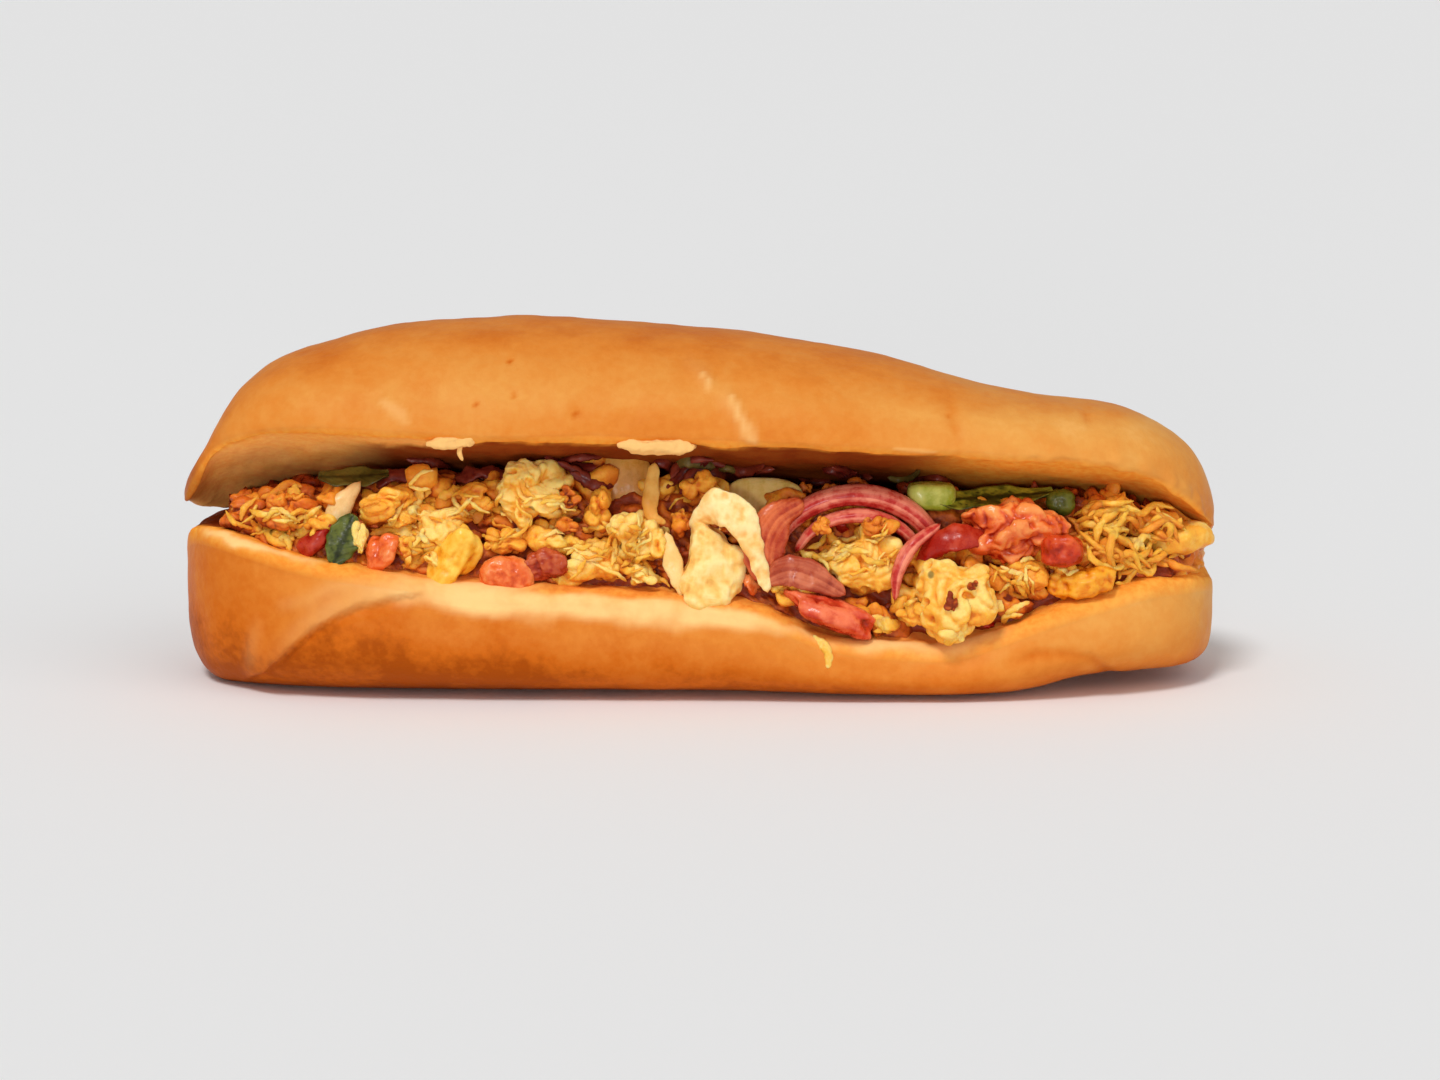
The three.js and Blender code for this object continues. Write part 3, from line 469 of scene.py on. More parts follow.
def put(name, shape, finish=None, hides=()):
    """Adds one smooth-shaded object from points in mm, triangles and layers, that rides on the
    sandwich and stands for the nodes that it hides. Its points carry the float layers, and one that
    runs from 0 where the skin faces up to 1 where it faces down."""
    points, faces, layers = shape
    mesh = bpy.data.meshes.new(name)
    mesh.vertices.add(len(points))
    mesh.vertices.foreach_set("co", (points * MM).astype(np.float32).ravel())
    mesh.loops.add(faces.size)
    mesh.loops.foreach_set("vertex_index", faces.astype(np.int32).ravel())
    mesh.polygons.add(len(faces))
    mesh.polygons.foreach_set("loop_start", np.arange(0, faces.size, 3, dtype=np.int32))
    mesh.update(calc_edges=True)
    mesh.validate()
    mesh.shade_smooth()
    # The egg and vegetable finishes paint shade on down-facing skin by this layer
    under = 0.5 - 0.5 * normals_of(points, faces)[:, 2]
    for key, values in {**layers, "under": under}.items():
        layer = mesh.attributes.new(key, "FLOAT", "POINT")
        layer.data.foreach_set("value", values.astype(np.float32))
    made = bpy.data.objects.new(name, mesh)
    bpy.context.scene.collection.objects.link(made)
    if finish is not None:
        mesh.materials.append(finish)
        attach(made, BODY)
        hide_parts(*hides)
    return made


def arrays_of(mesh):
    """Points in mm and triangles of a mesh."""
    points = np.empty(len(mesh.vertices) * 3)
    mesh.vertices.foreach_get("co", points)
    mesh.calc_loop_triangles()
    faces = np.empty(len(mesh.loop_triangles) * 3, int)
    mesh.loop_triangles.foreach_get("vertices", faces)
    return points.reshape(-1, 3) / MM, faces.reshape(-1, 3)


# Bread
def hinge_lap(x):
    """How far the halves overlap at the hinge: a little, and a gap at both tips."""
    return mix(HINGE_LAP, -TIP_GAP, smooth(TIP_START, TIP_FULL, np.abs(x)))


def base_cut(x, y):
    """Height of the lower cut face: level at the back, falling to the rim with power 1.5."""
    share = np.clip((SLIT_END - y) / (SLIT_END + BASE_FRONT - BASE_ROUND), 0, 1)
    return mix(along(HINGE, x), along(BASE_RIM, x), share**1.5)


def lid_cut(x, y):
    """Height of the upper cut face: a straight slope from the hinge to the rim."""
    share = (SLIT_END - y) / (SLIT_END + LID_FRONT - LID_ROUND)
    return mix(along(HINGE, x), along(LID_RIM, x) - LID_CUT, share)


def even(start, stop, count, x):
    """Even steps from start to stop, the same for each place x (stations, 1)."""
    return np.linspace(start, stop, count)[None] + 0 * x


def even_angles(count):
    """Angles round the lower skin, spaced evenly along its superellipse."""
    dense = np.linspace(np.pi, 2 * np.pi, 2000)
    power = 2 / BASE_FULLNESS
    across = BASE_HALF_WIDTH * np.sign(np.cos(dense)) * np.abs(np.cos(dense)) ** power
    down = USUAL_RIM * np.abs(np.sin(dense)) ** power
    run = np.concatenate(([0], np.cumsum(np.hypot(np.diff(across), np.diff(down)))))
    return np.interp(np.linspace(0, run[-1], count + 1)[1:], run, dense)


def joined(*pieces):
    """Pieces of a section, each y, z and where it is crumb, one after another."""
    return tuple(np.concatenate(column, axis=-1) for column in zip(*pieces))


def base_section(x, cut_count=22, rim_count=12, skin_count=140, lap_count=8):
    """Cross-sections of the lower half at places x (stations, 1): y, z, and 1 where it is crumb.
    A cut face, a quarter ellipse for the rim, then half a superellipse that leans in towards the
    rim and the tuck, with the side pushed out below its fold, and the lapped face."""
    rim, hinge = along(BASE_RIM, x), along(HINGE, x)
    front = BASE_ROUND - BASE_FRONT
    cut_y = even(SLIT_END, front, cut_count, x)
    turn = np.radians(np.linspace(0, 90, rim_count + 1)[1:])[None]
    rim_y = front - BASE_ROUND * np.sin(turn) + 0 * x
    rim_z = rim - BASE_DROP * (1 - np.cos(turn))
    edge, lap_top = rim - BASE_DROP, hinge + hinge_lap(x)
    angle = even_angles(skin_count)[None]
    side = np.cos(angle)
    at_front = side < 0
    top = np.where(at_front, edge, lap_top)
    power = 2 / BASE_FULLNESS
    across = np.sign(side) * np.abs(side) ** power
    down = np.abs(np.sin(angle)) ** power
    bare = np.maximum(top * (1 - down) - BASE_FLAT, 0) * (top / (top - BASE_FLAT))
    lean = np.where(
        at_front,
        (1 - BASE_FRONT / BASE_HALF_WIDTH) * (bare / top) ** LEAN_POWER,
        (1 - BACK_TUCK / BASE_HALF_WIDTH) * (bare / top) ** TUCK_POWER,
    )
    fold = np.minimum(edge, along(FOLD, x))
    below_fold = smooth(0, FOLD_SOFTNESS, fold - bare) * smooth(0, BASE_ROUNDING, bare)
    bulge = SIDE_BULGE * within(BULGE_SPAN, x) * below_fold * at_front
    corner = np.clip((CORNER_START - x) / CORNER_LENGTH, 0, 1)
    lift = END_LIFT * smooth(60, 80, x) + CORNER_HEIGHT * (1 - np.sqrt(1 - corner**2))
    skin_y = BASE_HALF_WIDTH * across * (1 - lean) - bulge
    skin_z = lift + bare * (1 - lift / top)
    lap_y = even(LAP_END, LAP_START, lap_count, x)
    y, z, crumb = joined(
        (cut_y, base_cut(x, cut_y), np.ones(cut_count)),
        (rim_y, rim_z, np.linspace(1, 0, rim_count) ** 0.6),
        (skin_y, skin_z, np.zeros(skin_count)),
        (lap_y, lap_top + 0 * lap_y, np.ones(lap_count)),
    )
    return y, z, crumb, cut_count - 1


def lid_section(x, cut_count=24, rim_count=8, skin_count=116, lap_count=8):
    """Cross-sections of the lid at places x (stations, 1): y, z, and 1 where it is crumb. The
    lapped face, half an ellipse tilted with the lid, a quarter circle for the rim, the cut face."""
    rim, hinge = along(LID_RIM, x), along(HINGE, x)
    foot = hinge - hinge_lap(x)
    lap_y = even(LAP_START, LAP_END, lap_count, x)
    front_z = rim + LID_SKIN
    middle_y = (BACK_EDGE - LID_FRONT) / 2
    middle_z = (front_z + foot) / 2
    reach = np.hypot(LID_FRONT + middle_y, front_z - middle_z)
    cosine = (LID_FRONT + middle_y) / reach
    sine = (front_z - middle_z) / reach
    rise = along(CROWN, x) - middle_z
    tall = np.sqrt(np.maximum(rise**2 - (reach * sine) ** 2, 4)) / cosine
    angle = np.linspace(0, np.pi, skin_count)[None]
    out, up = reach * np.cos(angle), tall * np.sin(angle)
    skin_y = middle_y + cosine * out + sine * up
    skin_z = middle_z - sine * out + cosine * up
    turn = np.radians(np.linspace(0, 90, rim_count + 1)[1:-1])[None]
    rim_y = LID_ROUND - LID_FRONT - LID_ROUND * np.cos(turn) + 0 * x
    rim_z = front_z - (LID_SKIN + LID_CUT) * np.sin(turn)
    cut_y = even(LID_ROUND - LID_FRONT, SLIT_END, cut_count, x)
    y, z, crumb = joined(
        (lap_y, foot + 0 * lap_y, np.ones(lap_count)),
        (skin_y, skin_z, np.zeros(skin_count)),
        (rim_y, rim_z, np.linspace(0, 1, rim_count - 1)),
        (cut_y, lid_cut(x, cut_y), np.ones(cut_count)),
    )
    return y, z, crumb, lap_count + skin_count


def plan_width(share, power):
    """Width at a share of the half length: a superellipse seen from above."""
    return np.sqrt(1 - np.minimum(np.abs(share), 1) ** power)


def end_height(share, taper):
    """Height at a share of the half length: full, then a superellipse to the tip."""
    power, root = taper
    past = np.maximum((np.abs(share) - TAPER_START) / (1 - TAPER_START), 0)
    return (1 - np.minimum(past, 1) ** power) ** root


def crowded(count):
    """Shares of the half length, closer together towards both ends."""
    t = np.linspace(-1, 1, count)
    return TIP_SHARE * mix(t, np.sin(np.pi / 2 * t), CROWDING)


def half_roll(section, plan, taper, lower, count):
    """One half of the roll with its relief: points, triangles and layers. Its sections narrow, and
    draw in to mid height, towards both tips."""
    share = crowded(count)
    x = HALF_LENGTH * share[:, None]
    y, z, crumb, rim_at = section(x)
    middle = (z.min(1) + z.max(1))[:, None] / 2
    width = plan_width(share, plan)[:, None]
    height = end_height(share, taper)[:, None]
    rings = np.stack([x + 0 * y, y * width, middle + (z - middle) * height], -1)
    steps = np.linalg.norm(np.diff(rings, axis=1), axis=-1)
    run = np.concatenate([np.zeros((count, 1)), np.cumsum(steps, axis=1)], axis=1)
    past = (run - run[:, rim_at:rim_at + 1]) * (1 if lower else -1)
    crumb = crumb[None] * smooth(HALF_LENGTH, TIP_CRUMB, np.abs(x)) + 0 * past
    ahead = np.gradient(rings, axis=0)
    beside = np.roll(rings, -1, axis=1) - np.roll(rings, 1, axis=1)
    out = unit(np.cross(beside, ahead))
    if (out[count // 2, :, 2] * (rings[count // 2, :, 2] - middle[count // 2])).sum() < 0:
        out = -out
    tops = along(BASE_RIM if lower else CROWN, x)
    layers = bread_layers(rings, past, crumb, lower, tops)
    rings = rings + out * bread_relief(rings, past, crumb, lower)[..., None] * height[..., None]
    rings[..., 2] = np.maximum(rings[..., 2], 0)
    points, faces = closed_grid(
        rings, (-HALF_LENGTH, 0, middle[0, 0]), (HALF_LENGTH, 0, middle[-1, 0]))
    layers = {
        key: np.append(value.ravel(), [value[0, 0], value[-1, 0]]) for key, value in layers.items()
    }
    return points, faces, layers


def peeled(x, z):
    """1 on the peels, fading out towards their edges."""
    masks = []
    for line, wide in PEELS:
        away, share = line_reach(x, z, line)
        reach = wide / 2 * (0.5 + 0.5 * np.sin(np.pi * np.clip(share, 0.05, 0.95)))
        masks.append(smooth(1.9, 0.3, away / reach))
    return np.max(masks, axis=0)


def creased(x, z):
    """Height of the creases in mm: a bell curve across each line, which fades out at both ends."""
    total = 0
    for line, half, high in CREASES:
        away, share = line_reach(x, z, line)
        fade = np.sin(np.pi * np.clip(share, 0.04, 0.96)) ** 0.4
        total = total + high * bell(away, half) * fade
    return total


def pitted(x, z, share=1.0):
    """Depth of the pits, each a bell curve of 1 in its middle, with a share of its width."""
    return sum(bell(np.hypot(x - px, z - pz), share * size) for px, pz, size in PITS)


def bread_relief(points, past, crumb, lower):
    """How far the skin is pushed out in mm: slow swells, fine dents, creases along their lines,
    pits, a ragged rim and open crumb on the cut faces; nothing on the underside. The distance past
    the rim is in mm, above 0 on the skin and below 0 on the cut face."""
    x, y, z = np.moveaxis(points, -1, 0)
    crust = 1 - crumb
    coarse = 0.2 if lower else mix(0.22, 0.8, smooth(48, 66, x))
    ragged = coarse * waves(points, RAGGED_RIM) * smooth(*RAGGED_EDGE, np.abs(past))
    front = creased(x, z) - PIT_DEPTH * pitted(x, z)
    nose = 0
    if lower:
        above = z - along(FOLD, x) + waves(points, FLAP_EDGE)
        flap = FLAP_HEIGHT * smooth(-1.1, 0.5, above) * bell(np.maximum(above, 0), 6)
        front = front + flap * within(FLAP_SPAN, x)
    else:
        front = front + PEEL_HEIGHT * peeled(x, z)
        nose = NOSE_HEIGHT * bell(x - NOSE_PLACE, 3) * smooth(*NOSE_EDGE, np.abs(past))
    relief = (
        waves(points, SWELLS) * crust + ragged + nose + crumb * waves(points, OPEN_CRUMB)
        + front * smooth(*FRONT_FADE, y) * crust
    )
    return relief * (smooth(0.2, 3, z) if lower else 1)


def bread_layers(points, past, crumb, lower, tops):
    """Masks for the bread's finish: crumb, bake from pale to brown with painted shade in it, sauce
    on the rims, the dark stain behind them that is partly painted shade, and pale stretched skin
    that also holds painted highlights and painted light."""
    x, y, z = np.moveaxis(points, -1, 0)
    at_front = smooth(*FRONT_FADE, y)
    front_skin = at_front * (1 - crumb)
    wander = waves(points, BAKE_DRIFT)
    edge = past + waves(points, MASK_EDGE)
    if lower:
        share, above = z / tops, z - along(FOLD, x)
        below = smooth(-0.4, 1.6, -above) * smooth(-98, -86, x) * at_front
        # Browner towards the ground, partly baked and partly painted shade, at the left end and the
        # right tip's underside, and painted shade below the fold
        bake = (
            mix(*BASE_BAKE_AND_SHADE, smooth(0.85, 0.1, share)) + 0.18 * smooth(-50, -104, x)
            + 0.17 * below * smooth(20, -50, x)
            + 0.08 * smooth(92, 104, x) * smooth(0.4, 0.1, share)
            - 0.2 * smooth(50, 88, x) * smooth(0.12, 0.4, share)
        )
        lip = bell(edge - LIP_EDGE, LIP_WIDTH) * within(LIP_SPAN, x)
        # Stain, partly painted shade, on the lower cut face behind the rim
        stain = smooth(*BASE_STAIN_AND_SHADE_EDGE, edge) * smooth(95, 86, x) * (1 - lip)
        # A broad soaked band in the middle, a thin soaked line beside it, pale skin below both
        band = smooth(*BAND_EDGE, edge) * within(BAND_SPAN, x)
        soak = np.maximum(band, LINE_SOAK * smooth(*SOAK_EDGE, edge) * within(SOAK_SPAN, x))
        reach = mix(10.4, 6, smooth(-2, 26, x))
        strip = smooth(reach, reach - 3.6, edge) * within(PALE_SPAN, x)
        above = above + 0.8 * wander
        # A painted highlight along the top of the fold's ridge
        ridge = smooth(-1.2, 0.2, above) * smooth(6.5, 1.5, above) * within(RIDGE_SPAN, x)
        pale = LIP_PALE * lip + (strip + RIDGE_HIGHLIGHT * ridge * front_skin) * (1 - soak)
    else:
        rise = np.clip((z - 50) / np.maximum(tops - 50, 6), 0, 1)
        bake = (
            mix(*LID_BAKE, smooth(0.45, 1, rise)) + 0.2 * smooth(-94, -104, x)
            - 0.16 * within(FADED_SPAN, x) + 0.12 * smooth(9, 2, past)
        )
        # The stain, partly painted shade under the lid, keeps away from the rim at the left, and
        # browns the tip's nose
        inside = edge + mix(8, 0, smooth(-60, -40, x))
        nose = smooth(-98.5, -101.5, x) * smooth(49, 45, z) * smooth(2, -5, y)
        stain = smooth(*LID_STAIN_AND_SHADE_EDGE, inside) * within(STAIN_AND_SHADE_SPAN, x)
        stain = np.maximum(stain, NOSE_DARKENING * nose)
        soak = 0 * past
        # Painted light on the shaded cut face under the left of the lid; pale peels partly painted
        # highlights
        pale = CUT_PAINTED_LIGHT * smooth(*LID_PAINTED_LIGHT_EDGE, past) * smooth(-36, -56, x)
        pale = np.maximum(pale, PEEL_PALE_AND_HIGHLIGHT * peeled(x, z) * front_skin)
    # Painted highlights on raised creases, and painted shade in grooves and pits
    crease = creased(x, z) * front_skin
    pale = pale + CREASE_HIGHLIGHT * np.maximum(crease, 0)
    dapples = 0.07 * wander + 0.02 * fractal(points * (0.25, 0.25, 0.12), 3, 18)
    pit_and_groove_shade = PIT_SHADE * pitted(x, z, 0.7) * at_front + CREASE_SHADE * np.maximum(-crease, 0)
    bake = bake + dapples + pit_and_groove_shade
    return {
        "crumb": crumb, "bake": np.clip(bake, 0, 1), "soak": soak, "pale": np.clip(pale, 0, 1),
        "stain": stain,
    }


def united(parts, keys):
    """One skin round two overlapping closed bodies. Points that the union adds take the mean of
    their neighbours' layers."""
    made = [
        put(f"part_{i}", (points, faces, {**layers, "known": np.ones(len(points))}))
        for i, (points, faces, layers) in enumerate(parts)
    ]
    union = made[0].modifiers.new("union", "BOOLEAN")
    union.operation = "UNION"
    union.solver = "MANIFOLD"
    union.object = made[1]
    done = made[0].evaluated_get(bpy.context.evaluated_depsgraph_get())
    mesh = bpy.data.meshes.new_from_object(done)
    points, faces = arrays_of(mesh)
    layers = {}
    for key in ("known", *keys):
        layers[key] = np.empty(len(mesh.vertices))
        mesh.attributes[key].data.foreach_get("value", layers[key])
    edges = edges_of(faces)
    known = layers.pop("known") > 0.5
    for key, values in layers.items():
        spread = averaged(values * known, edges, 2)
        weight = averaged(known.astype(float), edges, 2)
        layers[key] = np.where(known, values, spread / np.maximum(weight, 1e-6))
    for old in made:
        bpy.data.objects.remove(old)
    return points, faces, layers


def softened_hinge(points, faces):
    """The crease along the back, eased by averaging: most on the seam, nothing 9 mm away."""
    x, y, z = points.T
    seam = smooth(9, 2, np.abs(z - along(HINGE, x))) * smooth(24, 32, y) * smooth(97, 88, np.abs(x))
    return averaged(points, edges_of(faces), 24, 0.75 * seam)


# Food shapes
def spin(turn):
    """The matrix that turns by angles about Z, then Y, then X."""
    return np.array(Euler([math.radians(angle) for angle in turn], "ZYX").to_matrix())


def dice(seed):
    """Repeatable numbers from 0 to 1."""
    state = seed
    while True:
        state = (state * 1664525 + 1013904223) % 2**32
        yield state / 2**32


def craggy(points, faces, crags, grain, seed):
    """The points, moved along their normals by fractal noise of a height and a grain in mm."""
    return points + normals_of(points, faces) * crags * fractal(points / grain, 3, seed)[:, None]


def lump(
    at, half, turn=(0, 0, 0), boxy=1.3, rough=0.1, seed=1, detail=5, crags=0.25, grain=2.4,
):
    """An uneven piece: a superellipsoid swollen by slow waves and craggy with noise."""
    ways, faces = ball(detail)
    roll = dice(seed)
    swell = np.ones(len(ways))
    for _ in range(4):
        way = np.array([next(roll) for _ in range(3)]) - 0.5
        pace = 2 + 3 * next(roll)
        start = 2 * math.pi * next(roll)
        swell += rough / 2 * np.sin(pace * (ways @ way) / np.linalg.norm(way) + start)
    shape = np.sign(ways) * np.abs(ways) ** (1 / boxy) * swell[:, None]
    points = craggy(shape * half, faces, crags, grain, seed)
    points = points @ spin(turn).T + at
    return points, faces, {"hollow": hollows(points, faces), "flow": ways[:, 0] * half[0]}


def sampled(path, count):
    """Points evenly along a Catmull-Rom curve through the path, and its directions."""
    spots = np.array(path, float)
    ends = [2 * spots[0] - spots[1]], [2 * spots[-1] - spots[-2]]
    spots = np.concatenate([ends[0], spots, ends[1]])
    t = np.linspace(0, len(path) - 1, count)
    i = np.minimum(t.astype(int), len(path) - 2)
    u = (t - i)[:, None]
    p0, p1, p2, p3 = spots[i], spots[i + 1], spots[i + 2], spots[i + 3]
    points = 0.5 * (
        2 * p1 + (p2 - p0) * u + (2 * p0 - 5 * p1 + 4 * p2 - p3) * u**2
        + (3 * p1 - p0 - 3 * p2 + p3) * u**3
    )
    return points, unit(np.gradient(points, axis=0))


def ribbon(
    path, wide, thick, face=(0, -1, 0), tip=0.3, steps=40, sides=20, ragged=0.12, crags=0.15,
    grain=2.0, seed=1,
):
    """A strip along a curved path. Each ring is an ellipse, wide across the path and thick through
    it, drawn in to the tip share of that at both ends, and craggy with noise. The width and the
    thickness are one value, or values that it passes evenly on its way."""
    centre, ahead = sampled(path, steps)
    across = unit(np.cross(ahead, np.array(face, float)))
    through = np.cross(across, ahead)
    t = np.linspace(0.001, 0.999, steps)
    full = (tip + (1 - tip) * np.sqrt(np.sin(np.pi * t)))[:, None]
    uneven = 1 + ragged * fractal(np.stack([t * 6, 0 * t + seed, 0 * t], -1), 2, seed)[:, None]
    wide, thick = (
        np.interp(t, np.linspace(0, 1, np.size(size)), np.ravel(size))[:, None]
        for size in (wide, thick)
    )
    angle = 2 * np.pi * np.arange(sides) / sides
    c, s = np.cos(angle), np.sin(angle)
    rings = (
        centre[:, None]
        + across[:, None] * (wide / 2 * full * uneven * c)[..., None]
        + through[:, None] * (thick / 2 * full * s)[..., None]
    )
    first = centre[0] - ahead[0] * thick[0] * 0.3
    last = centre[-1] + ahead[-1] * thick[-1] * 0.3
    points, faces = closed_grid(rings, first, last)
    points = craggy(points, faces, crags, grain, seed)
    flow = np.append((c * wide / 2).ravel(), [0, 0])
    return points, faces, {"hollow": hollows(points, faces), "flow": flow}


def leaf(at, long, wide, thick, turn=(0, 0, 0), curl=1.0, wave=1.0, steps=48, spans=14, seed=1):
    """A thin leaf or a layer of onion: its edges and ends curl up. A leaf's wave of 1 ripples its
    sides, notches its edge and raises its veins, and an onion layer is smooth with less."""
    t = np.linspace(0.01, 0.99, steps)[:, None]
    side = np.linspace(-1, 1, spans)[None]
    jag = 1 + 0.05 * wave * np.sin(30 * t + seed) * np.abs(side)
    half = wide / 2 * (0.25 + 0.75 * np.sin(np.pi * t) ** 0.7) * jag
    ripple = 0.35 * side * np.sin(4 * np.pi * t + side) + 0.12 * side * np.sin(16 * t + 3 * side)
    height = curl * (wave * ripple + 0.5 * side**2 + 0.4 * (2 * t - 1) ** 2)
    vein = bell(side, 1 / 6) + 0.5 * bell(np.sin(22 * t - 5 * np.abs(side)), 0.3)
    sheets = []
    for way in (1, -1):
        lift = height + way * (thick / 2 + 0.12 * wave * vein) * np.sqrt(1.02 - side**2)
        sheet = np.stack([long / 2 * (2 * t - 1) + 0 * side, half * side, lift], -1)
        sheets.append(sheet[:, ::way])
    ends = [(way * (long / 2 + 0.2), 0, 0.4 * curl) for way in (-1, 1)]
    points, faces = closed_grid(np.concatenate(sheets, axis=1), *ends)
    veins, across = (
        np.append(np.concatenate([upper, upper[:, ::-1]], axis=1).ravel(), [0, 0])
        for upper in (vein, side * wide / 2 + 0 * t)
    )
    points = points @ spin(turn).T + at
    hollow = 0.45 + 0.5 * wave * (veins - 0.3) - 0.6 * smooth(0.7, 1, np.abs(across) / (wide / 2))
    return points, faces, {"hollow": np.clip(hollow, 0, 1), "flow": across}


def ragged_piece(at, half, seed):
    """A piece pulled apart like a curd of egg, but of another food."""
    return curds([at], [half], [0.5], detail=6, folds=24, seed=seed, grain=4.0, crags=0.8)


def sunk(points):
    """How deep the points lie in the heap's front: 0 on what stands out of it, 1 well inside."""
    x, y, z = np.moveaxis(points, -1, 0)
    low, high = along(BASE_RIM, x), along(HEAP_TOP, x)
    share = np.clip((z - low) / (high - low), 0, 1)
    face = -mix(HEAP_FOOT, HEAP_BROW, share**FACE_POWER) * plan_width(x / HALF_LENGTH, LID_PLAN)
    return smooth(-4, 2, y - face)


def as_egg(points, faces, layers, tint, depth=0.0):
    """A shape with the layers of the egg's finish: how orange it is, and how deep it lies."""
    size = len(points)
    return points, faces, {**layers, "tint": np.full(size, tint), "sunk": np.full(size, depth)}


def torn(points, grain, seed):
    """Height of torn egg, about -1 to 1: round lobes with sharp creases, which are the size of
    noise that changes sign, at two scales and over warped space, less pits where another noise is
    high."""
    warp = np.stack([noise(points / (1.4 * grain), seed + i) for i in range(3)], -1)
    spots = points + 0.45 * grain * warp
    lobes = np.abs(noise(spots / grain, seed + 3))
    lobes = lobes + 0.3 * np.abs(noise(spots / (0.45 * grain), seed + 4))
    pits = smooth(0.4, 0.7, noise(points / (0.8 * grain), seed + 5))
    return 1.9 * lobes - 0.6 - 1.6 * pits


def curds(at, half, tint, detail, folds, seed, grain, crags):
    """Many curds of egg, each a bundle of thick soft flakes at all angles. In each direction a
    curd's skin lies where a ray from its middle leaves the last of its flakes, which are flattened
    balls. The exits are blended by a power mean, and the skin is torn to the crags' height."""
    chance = np.random.default_rng(seed)
    at, half, tint = np.array(at, float), np.array(half, float), np.array(tint, float)
    ways, faces = ball(detail)
    count = len(at)
    axes, middles = chance.normal(size=(2, count, folds, 3))
    axes = unit(axes)
    middles = unit(middles) * chance.uniform(*FLAKE_REACH, (count, folds, 1))
    across = chance.uniform(*FLAKE_RADIUS, (count, folds, 1)) ** -2
    through = chance.uniform(*FLAKE_THICKNESS, (count, folds, 1)) ** -2
    total = np.full((count, len(ways)), CURD_HEART**FLAKE_BLEND)
    for i in range(folds):
        axis, middle = axes[:, i], middles[:, i]
        way_flat, middle_flat = axis @ ways.T, (axis * middle).sum(1)[:, None]
        way_middle, middle_square = middle @ ways.T, (middle**2).sum(1)[:, None]
        flat, wide = through[:, i], across[:, i]
        a = (1 - way_flat**2) * wide + way_flat**2 * flat
        b = (way_middle - way_flat * middle_flat) * wide + way_flat * middle_flat * flat
        c = (middle_square - middle_flat**2) * wide + middle_flat**2 * flat - 1
        room = b**2 - a * c
        leave = np.where(room > 0, b + np.sqrt(np.maximum(room, 0)), 0) / a
        total += np.maximum(leave, 0) ** FLAKE_BLEND
    skin = np.minimum(total ** (1 / FLAKE_BLEND), CURD_LIMIT)
    points = at[:, None] + ways[None] * skin[..., None] * half[:, None]
    rise = crags * torn(points, grain, seed)
    edges = edges_of(faces)
    parts = []
    for body, high, shade in zip(points, rise, tint):
        body = body + normals_of(body, faces) * high[:, None]
        depth = hollows(body, faces, 0.5 * crags, CREASE_ROUNDS[detail], edges)
        parts.append(as_egg(body, faces, {"hollow": depth}, shade, sunk(body)))
    return join(parts)


def heap_skin(count=240):
    """The core of the heap: closed sections over the lower cut face, up the front and back under
    the lid, with a bumpy front and top."""
    share = crowded(count)
    x = mix(HEAP_LEFT, HEAP_RIGHT, (share[:, None] + 1) / 2)
    base_y = even(HEAP_BACK, 1 - HEAP_FOOT, 14, x)
    t = np.linspace(0, 1, 40)[None, 1:]
    top = along(HEAP_TOP, x)
    face_y = -mix(HEAP_FOOT - 0.6, HEAP_BROW, t**FACE_POWER) + 0 * x
    face_z = mix(along(BASE_RIM, x) - HEAP_SINK, top, t)
    lid_y = even(-HEAP_BROW, HEAP_BACK, 36, x)[:, 1:]
    lid_z = np.minimum(top, lid_cut(x, lid_y) - HEAP_CLEARANCE)
    close = end_height(share, HEAP_TAPER)[:, None]
    wide = plan_width(x / HALF_LENGTH, BASE_PLAN) * close
    narrow = plan_width(x / HALF_LENGTH, LID_PLAN) * close
    y = np.concatenate([base_y * wide, face_y * (wide + narrow) / 2, lid_y * narrow], axis=1)
    z = np.concatenate([base_cut(x, base_y) - HEAP_SINK, face_z, lid_z], axis=1)
    rings = np.stack([x + 0 * y, y, z], -1)
    ends = [
        (end, 0, float(along(BASE_RIM, end) + along(HEAP_TOP, end)) / 2)
        for end in (HEAP_LEFT, HEAP_RIGHT)
    ]
    points, faces = closed_grid(rings, *ends)
    shown = np.repeat(np.arange(rings.shape[1])[None] > base_y.shape[1], count, axis=0)
    shown = np.append(shown.ravel(), [0, 0])
    bumps = waves(points, HEAP_SWELLS) + 1.1 * torn(points, 3.4, 22)
    points = points + normals_of(points, faces) * (bumps * shown)[:, None]
    share = (points[:, 2] - along(BASE_RIM, points[:, 0])) / 18
    sauce = smooth(0.25, 0, share) * within(SAUCE_SPAN, points[:, 0])
    # A dark tint: sauce near the lower rim, and in the gaps between curds partly painted shade
    tint = 0.62 + 0.2 * noise(points / 6, 23) + 0.5 * sauce - 0.4 * smooth(94, 101, points[:, 0])
    return as_egg(points, faces, {"hollow": hollows(points, faces, 0.7)}, tint, sunk(points))


def clustered(at, chance):
    """How far curds are from cream towards orange: like their neighbours, and more at both ends, as
    painted shade of the lid.
    """
    ends = 0.4 * smooth(-64, -82, at[:, 0]) + 0.2 * smooth(70, 84, at[:, 0])
    return 0.1 + 0.46 * smooth(-0.5, 0.5, noise(at / 9, 5)) + 0.16 * chance + ends


# Looks from the front, which start before the sandwich and fall as the camera's do
ELEVATION = math.radians(10)
START = -60.0
LOOK_FALL = math.tan(ELEVATION)
LOOK = Vector((0, 1, -LOOK_FALL)).normalized()
LOOK_SPREAD = ((0, 0), (0.7, 0), (-0.7, 0), (0, 0.7), (0, -0.7))
FRONT_LIMIT = -33


def tree_of(objects):
    """One search tree of the triangles of several objects."""
    points, faces, _ = join([(*arrays_of(made.data), {}) for made in objects])
    return BVHTree.FromPolygons([Vector(p) for p in points], faces.tolist())


